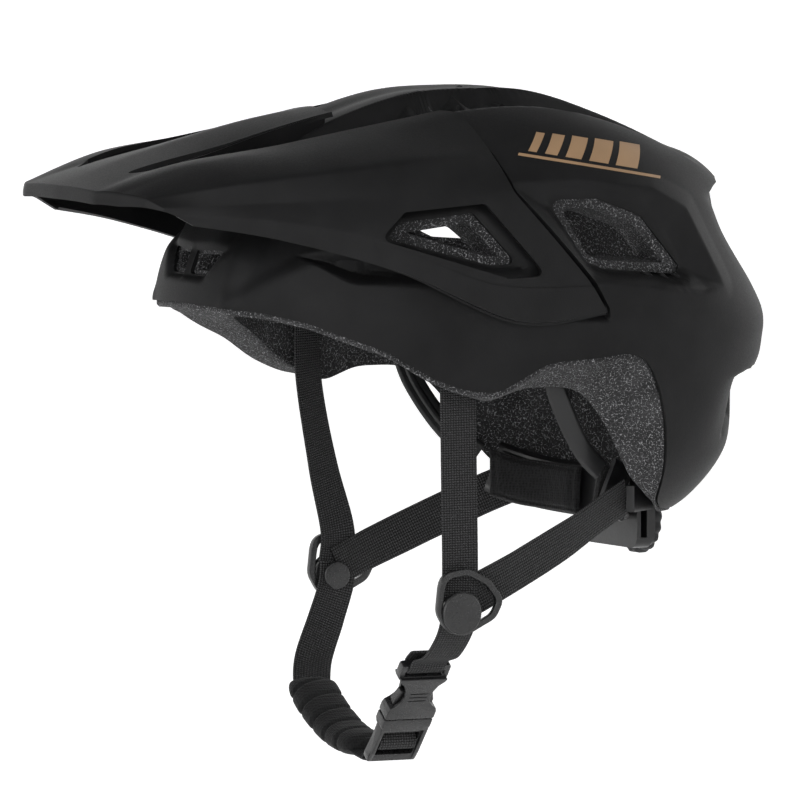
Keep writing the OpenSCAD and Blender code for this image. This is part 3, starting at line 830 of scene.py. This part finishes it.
def woven(name, across_pitch=0.0027, along_pitch=0.0023):
    """Ribbed webbing: rows of raised yarns that alternate like a basket, with painted highlights on
    the raised yarns and painted shade between them
    """
    mat, nodes, links, shader = material(name)
    split = nodes.new("ShaderNodeSeparateXYZ")
    links.new(nodes.new("ShaderNodeTexCoord").outputs["UV"], split.inputs[0])
    waves = []
    for socket, pitch in ((split.outputs["X"], across_pitch), (split.outputs["Y"], along_pitch)):
        turn = maths(nodes, links, "MULTIPLY", socket, 2 * math.pi / pitch)
        waves.append(maths(nodes, links, "SINE", turn))
    product = maths(nodes, links, "MULTIPLY", *waves)
    yarn = maths(nodes, links, "POWER", maths(nodes, links, "ABSOLUTE", product), 0.6)
    lean = maths(nodes, links, "MULTIPLY_ADD", product, 0.25, 0.5)
    height = maths(nodes, links, "ADD", yarn, lean)
    fuzz = noise(nodes, links, 1500, 3)["Fac"]
    # Painted light: the colour follows the yarn height, a painted highlight on the raised yarns and
    # painted shade in the low places between them
    links.new(ramp(nodes, links, maths(nodes, links, "MULTIPLY", height, 0.75),
                   [(0.45, (0.0012, 0.0012, 0.0012)), (1, (0.05, 0.05, 0.0515))]),
              shader.inputs["Base Color"])
    links.new(ramp(nodes, links, fuzz, [(0.3, 0.6), (0.7, 0.8)]), shader.inputs["Roughness"])
    shader.inputs["Specular IOR Level"].default_value = 0.2
    bump_chain(nodes, links, shader, [(height, 1.0, 0.0009), (fuzz, 0.25, 0.0002)])
    return mat


def turned_steel(name):
    """Turned steel with fine uneven scratches"""
    mat, nodes, links, shader = material(name)
    scratch = noise(nodes, links, 700, 4)["Fac"]
    links.new(ramp(nodes, links, scratch, [(0.3, 0.22), (0.7, 0.38)]), shader.inputs["Roughness"])
    links.new(ramp(nodes, links, scratch, [(0.3, (0.4, 0.4, 0.41)), (0.7, (0.52, 0.52, 0.53))]),
              shader.inputs["Base Color"])
    shader.inputs["Metallic"].default_value = 1
    bump_chain(nodes, links, shader, [(scratch, 0.1, 0.0001)])
    return mat


fabric_mat = mesh_fabric("mesh_cloth")
webbing_mat = woven("webbing_black")
steel_mat = turned_steel("turned_steel")


def dress(obj, mat):
    obj.data.materials.clear()
    obj.data.materials.append(mat)


def finish_piece(obj, name, body, mat, replaced=()):
    """Names a piece, gives it its finish and lets it ride on a body"""
    obj.name = name
    dress(obj, mat)
    if body:
        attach(obj, body)
    if replaced:
        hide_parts(*replaced)
    return obj


# ---------------------------------------------------------------- bands, pads and webbing

def path_length(path):
    return float(np.sum(np.linalg.norm(np.diff(path, axis=0), axis=1)))


def resampled(points, n):
    """n points at even steps along the curve through points"""
    fine = curve(points, np.linspace(0, len(points) - 1, 60 * len(points)))
    s = np.concatenate([[0], np.cumsum(np.linalg.norm(np.diff(fine, axis=0), axis=1))])
    even = np.linspace(0, s[-1], n)
    return np.stack([np.interp(even, s, fine[:, k]) for k in range(3)], axis=1)


def strap_section(w, t, cols=10, edge=0.35):
    """Section of a flat strap: rounded edges, and a slightly thicker border"""
    u = np.linspace(-1, 1, cols)
    half = t / 2 * (1 - edge * np.abs(u) ** 24)
    half = half * (0.92 + 0.08 * bump(np.abs(u) - 0.86, 0.12))
    top = np.stack([u * w / 2, half], axis=1)
    return np.concatenate([top, [[w / 2 + t * 0.2, 0]], top[::-1] * [1, -1],
                           [[-w / 2 - t * 0.2, 0]]])


def swept(name, path, across, section):
    """Closed solid: a section carried along a path, flat side across the given direction"""
    path = np.asarray(path, float)
    across = np.broadcast_to(np.asarray(across, float), path.shape)
    along = unit(np.gradient(path, axis=0))
    side = unit(across - along * np.sum(across * along, axis=1, keepdims=True))
    up = np.cross(side, along)
    n = len(section)
    verts = (path[:, None] + side[:, None] * section[None, :, :1]
             + up[:, None] * section[None, :, 1:]).reshape(-1, 3)
    steps = np.concatenate([[0], np.cumsum(np.linalg.norm(np.diff(path, axis=0), axis=1))])
    uvs = np.stack([np.tile(section[:, 0], len(path)), np.repeat(steps, n)], axis=1)
    faces = quads(len(path), n, True)
    faces += [tuple(range(n))[::-1], tuple(range((len(path) - 1) * n, len(path) * n))]
    obj = new_object(name, verts, faces, uvs)
    recalc(obj, weld=False)
    shade(obj, 50)
    return obj


web_w = 18
web_t = 1.4


def webbing(name, points, across, n=90):
    path = resampled(points, n)
    if np.ndim(across) == 2:
        across = curve(across, np.linspace(0, len(across) - 1, n))
    obj = swept(name, path, across, strap_section(web_w, web_t, 12))
    obj["length_mm"] = path_length(path)
    return obj


def hang(obj, replaced, body=None, ends=None):
    """A strap of webbing, which rides on a body, or stays unattached where it lies when ends are
    given
    """
    finish_piece(obj, obj.name, body, webbing_mat, replaced)
    if ends:
        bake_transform(obj)


def pillow(name, base, inward, thick):
    """Closed soft pad: base is a grid of points, and the pad swells from it along inward"""
    sunk = 0.2
    return plate(name, base - inward * sunk, base + inward * thick[..., None], 60)


def crowned(rows, cols, thick, channels_u=(), channels_v=(), welt=0.12):
    """Thickness of a pad: full in the middle, thin at a welted edge, with sewn channels"""
    v, u = np.meshgrid(np.linspace(-1, 1, rows), np.linspace(-1, 1, cols), indexing="ij")
    rise = (1 - np.abs(u) ** 5) ** 0.5 * (1 - np.abs(v) ** 5) ** 0.5
    for c in channels_u:
        rise = rise * (1 - 0.5 * np.exp(-((u - c) / 0.05) ** 2))
    for c in channels_v:
        rise = rise * (1 - 0.5 * np.exp(-((v - c) / 0.06) ** 2))
    return thick * (welt + (1 - welt) * rise)


def hollow_pad(name, phi0, phi1, t0, t1, gap, thick, side, channels_u=(), channels_v=()):
    """A pad that lies in the hollow between two angles and two profile places"""
    rows, cols = 44, 96
    t, phi = np.meshgrid(np.linspace(t0, t1, rows), np.radians(np.linspace(phi0, phi1, cols)),
                         indexing="ij")
    p = cavity(phi, t)
    inward = -unit(p)
    base = p + inward * gap
    flip = np.array([side, 1, 1])
    return pillow(name, base * flip, inward * flip,
                  crowned(rows, cols, thick, channels_u, channels_v))


def crown_strip(name, x0, x1, y0, y1, channels_u=(), channels_v=()):
    """A pad under the crown between two X and two Y places"""
    rx, ry, rz = cavity_half_w - 3, cavity_front - 4, cavity_h - 3
    rows, cols = 80, 60
    y, x = np.meshgrid(np.linspace(y0, y1, rows), np.linspace(x0, x1, cols), indexing="ij")
    z = rz * np.sqrt(np.clip(1 - (x / rx) ** 2 - (y / ry) ** 2, 0.01, 1))
    p = np.stack([x, y, z], axis=-1)
    inward = -unit(p / [rx ** 2, ry ** 2, rz ** 2])
    return pillow(name, p + inward * 0.3, inward, crowned(rows, cols, 5.6, channels_u, channels_v))


def lathe(name, profile, place, swell=None, n=144):
    """Solid of revolution: profile points (radius, height), from the axis back to the axis"""
    rings = []
    for r, h in profile:
        a = np.arange(n) * 2 * np.pi / n
        rr = np.full(n, float(r))
        if swell is not None:
            rr = rr + swell(a, r)
        rings.append([place(u, v, h) for u, v in zip(rr * np.cos(a), rr * np.sin(a))])
    first, last = place(0, 0, profile[0][1]), place(0, 0, profile[-1][1])
    obj = ring_solid(name, np.array(rings), first, last)
    shade(obj, 35)
    return obj


def moulding(name, outline, z0, z1, place, holes=(), edge=0.5, segments=3):
    """Flat moulded piece with rounded edges: an outline between two depths, with holes"""
    obj = prism(outline, place, z0, z1)
    if len(holes):
        combine(obj, [prism(h, place, z0 - 5, z1 + 5) for h in holes])
    if edge:
        bevel(obj, edge, segments)
    shade(obj, 40)
    obj.name = name
    return obj


def block(x0, x1, y0, y1):
    return [[x0, y0], [x1, y0], [x1, y1], [x0, y1]]


def both_halves(half):
    """A closed outline from its half on one side of the first axis"""
    return [list(p) for p in half] + [[u, -v] for u, v in half[::-1]]


# ---------------------------------------------------------------- build: shell, foam, visor

skin = finish_piece(make_skin(), "outer_shell_skin", "shell", skin_mat,
                    ["outer_shell"])
finish_piece(make_foam(), "foam_liner_beads", "shell", foam_mat, ["foam_liner"])
finish_piece(make_visor(), "visor_shell", "visor", visor_mat, ["visor"])


def side_stripe(corners, side, rows=5, cols=24):
    """Thin printed patch that lies on the skin; corners are (Y, Z), seen from the side"""
    a, b, c, d = (np.array(p, float) for p in corners)
    lift, hidden = 0.1, -0.25
    outer = np.zeros((rows + 1, cols + 1, 3))
    inner = outer.copy()
    for j in range(rows + 1):
        for i in range(cols + 1):
            y, z = mix(mix(a, b, i / cols), mix(d, c, i / cols), j / rows)
            _, place, normal, _ = skin.ray_cast(Vector((side * 0.13, y * MM, z * MM)),
                                                Vector((-side, 0, 0)))
            outer[j, i] = np.array(place) / MM + np.array(normal) * lift
            inner[j, i] = np.array(place) / MM + np.array(normal) * hidden
    return plate("stripe", outer, inner, 60)


flank_fall = 0.17


def stripe_corners(y, length, low, tall, lean=9):
    """A leaning bar on the upper flank, which follows the flank's fall to the rear"""
    start = 70.5 - flank_fall * y + low
    end = start - flank_fall * length
    return [[y, start], [y + length, end], [y + length + lean, end + tall],
            [y + lean, start + tall]]


stripe_bars = [(-6, 4, 0, 8), (2, 6, 0, 8.5), (12, 8, 0, 9), (24, 10, 0, 9.5), (38, 12, 0, 10)]
stripe_line = (-12, 74, -2.8, 1.1)
for side, label in both_sides:
    bars = [side_stripe(stripe_corners(*bar), side) for bar in stripe_bars]
    bars.append(side_stripe(stripe_corners(*stripe_line, lean=1), side, 2, 60))
    finish_piece(join("bars", bars), label + "_side_stripes", "shell", stripe_mat)

# ---------------------------------------------------------------- build: fit system

band_rx, band_ry, band_z = 76.6, 98.6, 7
band_path = [[band_rx * math.cos(a), band_ry * math.sin(a), band_z]
             for a in np.radians(np.linspace(-174.5, -5.5, 120))]
band = swept("band", band_path, (0, 0, 1), strap_section(13.6, 1.5, 12, 0.5))
slots = []
for k in range(-6, 7):
    if k in (-3, 3):
        continue
    a = math.radians(-90 + 12.5 * k)
    centre = np.array([band_rx * math.cos(a), band_ry * math.sin(a)])
    tangent = unit(np.array([-band_rx * math.sin(a), band_ry * math.cos(a)]))
    through = np.array([tangent[1], -tangent[0]])
    slots.append(prism(rounded(block(-4.5, 4.5, band_z - 1.8, band_z + 1.8), 1.7),
                       lambda u, v, w, c=centre, t=tangent, r=through: (*(c + t * u + r * w), v),
                       -5, 5))
combine(band, slots)
shade(band, 40)
finish_piece(band, "headband_band", "shell", gloss_mat, ["headband"])

arm_points = [[76.5, -6, -2], [76.5, 6, -22], [74, 14, -44], [68, 28, -66], [61, 42, -78]]
arm_across = [[0, 1, 0.1], [0, 0.68, 0.55], [0, 0.35, 1]]
for side, label in both_sides:
    flip = np.array([side, 1, 1])
    path = resampled(arm_points, 70)
    across = curve(arm_across, np.linspace(0, 2, 70))
    arm = swept("arm", path * flip, across, strap_section(10, 1.5, 12, 0.5))
    rib = swept("rib", path[6:-6] * flip + [-side * 0.6, 0, 0], across[6:-6],
                strap_section(3, 1.6, 6, 0.5))
    arm = join("arm", [arm, rib])
    shade(arm, 40)
    finish_piece(arm, label + "_yoke_arm", "shell", gloss_mat,
                 [label + "_band_arm"])

cradle_points = [[57, 47, -84], [44, 62, -90], [24, 74, -93], [0, 77, -93],
                 [-24, 74, -93], [-44, 62, -90], [-57, 47, -84]]
cradle_path = resampled(cradle_points, 120)
cradle_tall = np.stack([cradle_path[:, 0] * 0.004, np.full(120, 0.1), np.ones(120)], axis=1)
cradle = swept("cradle", cradle_path, cradle_tall, strap_section(23.8, 2, 16, 0.6))
cuts = [prism(rounded(block(x - 3.4, x + 3.4, -99, -86), 2.4),
              lambda u, v, w: (u, w, v), 55, 100) for x in (-24, 24, -35, 35)]
combine(cradle, cuts)
rails = [swept("rail", cradle_path[4:-4] + [0, 0.9, h], cradle_tall[4:-4],
               strap_section(2.2, 1.8, 6, 0.5)) for h in (-9.5, 9.5)]
cradle = join("cradle", [cradle, *rails])
shade(cradle, 40)
finish_piece(cradle, "rear_cradle_yoke", "cradle", gloss_mat, ["rear_cradle"])

pad_path = [[53, 43.5, -86], [46, 54, -90], [34, 64.5, -92], [16, 70, -93]]
for side, label in both_sides:
    path = resampled(pad_path, 70)
    up = unit(np.stack([path[:, 0] * 0.004, np.full(70, 0.1), np.ones(70)], axis=1))
    along = unit(np.gradient(path, axis=0))
    inward = unit(np.cross(along, up))
    inward *= np.sign(np.sum(inward * (-path * [1, 1, 0]), axis=1, keepdims=True))
    v = np.linspace(-11, 11, 44)
    base = path[None] + up[None] * v[:, None, None] - inward[None] * 1.9
    flip = np.array([side, 1, 1])
    pad = pillow("pad", base * flip, (inward * flip)[None],
                 crowned(44, 70, 4.6, (-0.9, 0.9), (-0.84, 0.84), 0.3))
    finish_piece(pad, label + "_nape_pad", "cradle", fabric_mat,
                 [label + "_cradle_pad"])

dial_z = -104


def at_dial(u, v, w):
    return (u, w, dial_z - v)


def knob_ribs(a, r):
    """Eighteen grip ribs on the knob's rim"""
    return 1.2 * (0.5 + 0.5 * np.cos(18 * a)) ** 0.7 * (r > 15)


knob_profile = [(2.1, 90), (12, 90), (15.6, 90.2), (16.6, 91), (17, 93), (16.9, 96), (16.2, 97.2),
                (15, 97.9), (13, 98), (11.5, 97.2), (10.5, 96.2), (7.5, 95.8), (5.2, 95.9),
                (4.6, 95.2), (2.1, 95.1)]
knob = lathe("knob", knob_profile, at_dial, knob_ribs, 216)
screw_hole = [[2 * math.cos(a), 2 * math.sin(a)] for a in np.linspace(0, 6.2, 32)]
combine(knob, [prism(screw_hole, at_dial, 85, 100)])
shade(knob, 35)
finish_piece(knob, "dial_knob_grip", "dial", rubber_mat, ["dial_knob"])

# ---------------------------------------------------------------- build: pads in the hollow

pads = [(hollow_pad("brow_cushion", -140, -40, 4.2, 4.6, 16, 4.5, 1,
                    (-0.66, -0.33, 0, 0.33, 0.66)), "brow_pad")]
pads += [(hollow_pad(label + "_cheek_cushion", 24, 58, 4.9, 6.1, 2, 5, side, (0,), (-0.3, 0.3)),
          label + "_side_pad") for side, label in both_sides]
pads.append((crown_strip("crown_cushion", -14, 14, -75, 75, (), (-0.6, -0.2, 0.2, 0.6)),
             "crown_pad"))
pads += [(crown_strip(label + "_crown_cushion", *sorted((14.6 * side, 52 * side)), -14, 14, (0,)),
          "crown_pad") for side, label in both_sides]
for pad, node in pads:
    finish_piece(pad, pad.name, "shell", fabric_mat, [node])

# ---------------------------------------------------------------- build: side straps and dividers

y_dir = (0, 1, 0)
# Shift of each side's divider, in Y and Z: the right one hangs higher and further back
divider_shift = {1: np.array([0, 0, 0.0]), -1: np.array([0, 14, 6.0])}
divider_ring = [[-50.5, -121], [-36, -119], [-25, -124.5], [-17.5, -134], [-22, -142.5],
                [-37, -150], [-47, -148.5], [-52.5, -139]]
divider_hub = (-40, -139.5)


def disc_outline(centre, r, n=48):
    a = np.arange(n) * 2 * math.pi / n
    return np.stack([centre[0] + r * np.cos(a), centre[1] + r * np.sin(a)], axis=1)


for side, label in both_sides:
    body = label + "_divider"
    shift = divider_shift[side]

    def sideways(u, v, w, side=side, shift=shift):
        return (side * w, u + shift[1], v + shift[2])

    outer = rounded(divider_ring, 9)
    inner = rounded(grown(divider_ring, -3), 7)
    ring = moulding("ring", outer, 77.6, 80.4, sideways, [inner], 0.9)
    hub = moulding("hub", disc_outline(divider_hub, 9.2), 77.7, 80.2, sideways, (), 0.3)
    base = moulding("base", disc_outline(divider_hub, 6.5), 72.6, 74.2, sideways, (), 0.5)
    finish_piece(join("frame", [ring, hub, base]), label + "_divider_frame", body, buckle_mat,
                 [label + "_divider"])
    hy, hz = divider_hub
    disc = lathe("disc", [(0.5, 80.3), (9.4, 80.3), (9.9, 80.8), (9.8, 81.6), (9.1, 82.0),
                          (8.6, 81.9), (8.2, 82.05), (0.5, 82.3)],
                 lambda u, v, w, place=sideways: place(hy + u, hz + v, w))
    finish_piece(disc, label + "_divider_cap", body, buckle_mat,
                 [label + "_divider_disc"])

    front = webbing(label + "_front_webbing",
                    [[side * 76, -40, -4], [side * 76.2, -39.6, -40],
                     shift * 0.5 + [side * 76.3, -39, -85], shift + [side * 76.2, -38.5, -118],
                     shift + [side * 76.3, -39, -134]],
                    [[min(side, 0) * 0.45, 1, 0], [min(side, 0) * 0.4, 1, 0], [0, 1, 0]])
    hang(front, [label + "_front_strap"],
         ends=("shell", body, (side * 76, -40, -25), shift + (side * 77, -39, -112)))
    rear = webbing(label + "_rear_webbing",
                   [shift + [side * 75.1, -39, -135.5], shift + [side * 75.4, -24, -128.5],
                    shift * 0.8 + [side * 73.5, -6, -120.5], [side * 68.5, 22, -107.5],
                    [side * 61, 44, -97], [side * 55.5, 58, -91]],
                   [[0, 0.42, 0.9], [0, 0.42, 0.9], [side * 0.1, 0.25, 1]])
    hang(rear, [label + "_rear_strap"],
         ends=("shell", body, (side * 57, 54, -92), shift + (side * 75, -18, -126)))

# ---------------------------------------------------------------- build: buckle

buckle_at = np.array([28, -41, -188.0])
buckle_turn = math.radians(129)


def at_buckle(x, y, z):
    c, s = math.cos(buckle_turn), math.sin(buckle_turn)
    return tuple(buckle_at + [x * c + z * s, y, -x * s + z * c])


socket_half = [[-23, 12.2], [-21, 11.3], [-18.5, 8.6], [-15, 7.0], [-11.5, 6.6], [-8.5, 7.4],
               [-6, 9.6], [-4.4, 11.8], [-2.5, 12.5], [2, 12.5]]
socket = moulding("socket", rounded(both_halves(socket_half), 1.2), -4.2, 4.2, at_buckle, (), 1.1)
bar = moulding("bar", rounded(block(-30, -21.5, -12.5, 12.5), 1.6), -2.2, 2.2, at_buckle,
               [rounded(block(-26.8, -23.2, -10, 10), 1)], 0.6)
combine(socket, [bar], "UNION")
combine(socket, [prism(block(-19, 30, -10.4, 10.4), at_buckle, -2.5, 2.5)])
grip = [prism(block(x, x + 0.8, -4.5, 4.5), at_buckle, 3.9, 6) for x in (-14.5, -12.3, -10.1)]
combine(socket, grip)
shade(socket, 35)
finish_piece(socket, "buckle_socket", "shell", buckle_mat, ["buckle_female"])

plug = moulding("plug", rounded(both_halves([[2.5, 12.5], [7, 12.5], [9.8, 11.4]]), 0.8),
                -4.2, 4.2, at_buckle, (), 0.9)
ladder = moulding("ladder", rounded(both_halves([[8, 11.2], [20, 12], [27, 12.6], [30, 12.2]]), 1.2),
                  -2.2, 2.2, at_buckle,
                  [rounded(block(12, 17, -9.7, 9.7), 1), rounded(block(21, 26, -9.7, 9.7), 1)], 0.6)
tongue = moulding("tongue", rounded(block(-14, 5, -1.6, 1.6), 0.8), -1.5, 1.5, at_buckle, (), 0.4)
rails = [prism(rounded([[8, -2], [30, -2], [30, 2.4], [24, 3.4], [8, 4.1]], 1),
               lambda x, z, y: at_buckle(x, y, z), s * 10.1, s * 12.2) for s in (-1, 1)]
for rail in rails:
    bevel(rail, 0.5)
combine(plug, [ladder, tongue, *rails], "UNION")
shade(plug, 35)
finish_piece(plug, "buckle_plug_ladder", "buckle_plug", buckle_mat,
             ["buckle_male"])

prong_outline = [[2, 6], [2, 9], [-4.2, 8.2], [-4.6, 10], [-8, 10.2], [-13.5, 8.2], [-14, 6.6],
                 [-8, 6]]
for side, label in ((-1, "front"), (1, "rear")):
    outline = rounded([[x, side * y] for x, y in prong_outline], 0.7)
    prong = moulding("prong", outline, -1.9, 1.9, at_buckle, (), 0.35)
    finish_piece(prong, label + "_prong_leg", label + "_prong", buckle_mat,
                 ["buckle_" + label + "_prong"])

# ---------------------------------------------------------------- build: chin straps and pad

def buckle_points(points):
    return [at_buckle(x, -0.2, z) for x, z in points]


left_chin = webbing("left_chin_webbing",
                    [[75.6, -38.5, -133], [75, -38.6, -142], [71, -39.2, -151],
                     [61, -40, -160.5],
                     *buckle_points([(-34, 3.4), (-29.5, 3.0), (-26.3, 2.0), (-25, 0),
                                     (-26.3, -2.4), (-30, -3.1), (-36, -1.2)])], y_dir, 160)
hang(left_chin, ["left_chin_strap"],
     ends=("shell", "left_divider", (52, -40, -166), (76, -39, -142)))

sleeve_top = (-60, -45, -184)
right_upper = webbing("right_chin_webbing",
                      [[-75.6, -24.5, -127], [-75.6, -25.5, -138], [-75.2, -31, -154],
                       [-71, -39.5, -171.5], [-61.5, -45, -183.5], [-54, -46, -188.5]], y_dir, 100)
hang(right_upper, ["right_chin_strap"],
     ends=("shell", "right_divider", sleeve_top, (-76, -26, -136)))

right_lower = webbing("buckle_end_webbing",
                      [[-56, -46, -187], [-44, -45.5, -195], [-30, -44, -203],
                       [-14, -42.8, -208.4], [-4, -42, -211.2],
                       *buckle_points([(34.5, -3.9), (31, -4.0), (27, -3.4), (24.2, -2.2),
                                       (22.8, 0.8), (21, 3.0), (19, 3.4), (17, 2.6), (15.4, 0.4),
                                       (14.6, -2.4), (17, -4.8), (23, -5.4), (30, -6.0),
                                       (36, -7.0)])], y_dir, 220)
hang(right_lower, ["right_chin_strap"],
     ends=("shell", "buckle_plug", sleeve_top, (4, -42, -212)))


def make_chin_pad():
    """Quilted sleeve: an oval tube pinched by slanting seams"""
    n, m = 150, 64
    path = resampled([[-63, -45.5, -181.5], [-48, -46, -192.5], [-30, -44, -203],
                      [-9, -42.5, -207.8]], n)
    along = unit(np.gradient(path, axis=0))
    side = np.array([0, 1.0, 0])
    up = unit(np.cross(along, side))
    a = np.arange(m) * 2 * math.pi / m
    s = np.linspace(0, 1, n)[:, None]
    ends = (1 - np.abs(2 * s - 1) ** 9) ** 0.5
    seam = (s * 5.6 + 0.32 * np.cos(a)[None] + 0.1 * np.sin(a)[None]) % 1 - 0.5
    pinch = 1 - 0.17 * np.exp(-(seam / 0.09) ** 2)
    swell = (0.72 + 0.28 * ends) * pinch
    wide = 12.6 * np.sign(np.cos(a)) * np.abs(np.cos(a)) ** 0.8
    tall = 5.9 * np.sign(np.sin(a)) * np.abs(np.sin(a)) ** 0.9
    rings = (path[:, None] + side * (wide[None] * swell)[..., None]
             + up[:, None] * (tall[None] * swell * (0.35 + 0.65 * ends))[..., None])
    pad = ring_solid("chin", rings, path[0], path[-1])
    shade(pad, 60)
    return pad


chin = make_chin_pad()
finish_piece(chin, "chin_pad_sleeve", None, fabric_mat, ["chin_pad"])
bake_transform(chin)

# ---------------------------------------------------------------- finishes of the CAD's own parts

own_parts = {gloss_mat: ["visor_pins", "visor_sockets", "band_anchor_pins", "strap_anchors",
                         "strap_guides", "dial_housing", "dial_back_plate", "dial_pinion",
                         "left_rack", "right_rack"],
             hook_mat: ["hook_dots"],
             steel_mat: ["dial_screw", "detent_spring"]}
for mat, names in own_parts.items():
    for name in names:
        dress(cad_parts[name], mat)

# ---------------------------------------------------------------- stage, light, camera

def area_light(name, place, aim, size, power):
    data = bpy.data.lights.new(name, "AREA")
    data.shape = "RECTANGLE"
    data.size, data.size_y = size
    data.energy = power
    obj = bpy.data.objects.new(name, data)
    bpy.context.scene.collection.objects.link(obj)
    obj.location = place
    obj.rotation_euler = (Vector(aim) - Vector(place)).to_track_quat("-Z", "Y").to_euler()


camera_azimuth = math.radians(63)
camera_rise = math.radians(4)
camera_distance = 8.0
camera_target = Vector((0.0, -0.0305, -0.047))
lens_per_metre = 97.5

camera_data = bpy.data.cameras.new("camera")
camera_data.lens = lens_per_metre * camera_distance
camera_data.sensor_width = 36
camera = bpy.data.objects.new("camera", camera_data)
bpy.context.scene.collection.objects.link(camera)
away = Vector((math.sin(camera_azimuth) * math.cos(camera_rise),
               -math.cos(camera_azimuth) * math.cos(camera_rise), math.sin(camera_rise)))
camera.location = camera_target + away * camera_distance
camera.rotation_euler = (-away).to_track_quat("-Z", "Y").to_euler()
bpy.context.scene.camera = camera

# A plain pale floor that curves up into a wall all round
floor_z = cad_box[0][2] - 0.06
sweep_points = [(8, 0), (9.2, 0.1), (10.3, 0.5), (11.2, 1.3), (11.8, 2.6), (12, 4.5), (12, 7.5)]
spoke_n = 96
spokes = np.arange(spoke_n) * 2 * math.pi / spoke_n
floor_rings = [[(r * math.cos(a), r * math.sin(a), h) for a in spokes] for r, h in sweep_points]
floor_verts = [(0, 0, 0)] + [p for ring in floor_rings for p in ring]
floor_faces = [(0, 1 + i, 1 + (i + 1) % spoke_n) for i in range(spoke_n)]
floor_faces += quads(len(sweep_points), spoke_n, True, 1)
floor = new_object("floor", np.array(floor_verts) / MM, floor_faces)
floor.location.z = floor_z
shade(floor, 80)
floor_mat, nodes, links, shader = material("pale_floor")
shader.inputs["Base Color"].default_value = (0.93, 0.93, 0.93, 1)
shader.inputs["Roughness"].default_value = 0.95
shader.inputs["Specular IOR Level"].default_value = 0.1
shader.inputs["Emission Color"].default_value = (1, 1, 1, 1)
shader.inputs["Emission Strength"].default_value = 0.5
dress(floor, floor_mat)

world = bpy.data.worlds.new("studio")
bpy.context.scene.world = world
world.use_nodes = True
world.node_tree.nodes["Background"].inputs["Color"].default_value = (1, 1, 1, 1)
world.node_tree.nodes["Background"].inputs["Strength"].default_value = 0.3

area_light("key_front", (1.3, -1.5, 0.5), (0, -0.05, 0), (1.2, 1.2), 15)
area_light("far_fill", (-0.9, -1.9, 0.9), (0, 0, 0), (1.0, 1.0), 4.5)
area_light("rear_rim", (-0.4, 1.9, 0.7), (0, 0.05, 0), (0.8, 1.2), 5)

bpy.context.scene.view_settings.view_transform = "Standard"
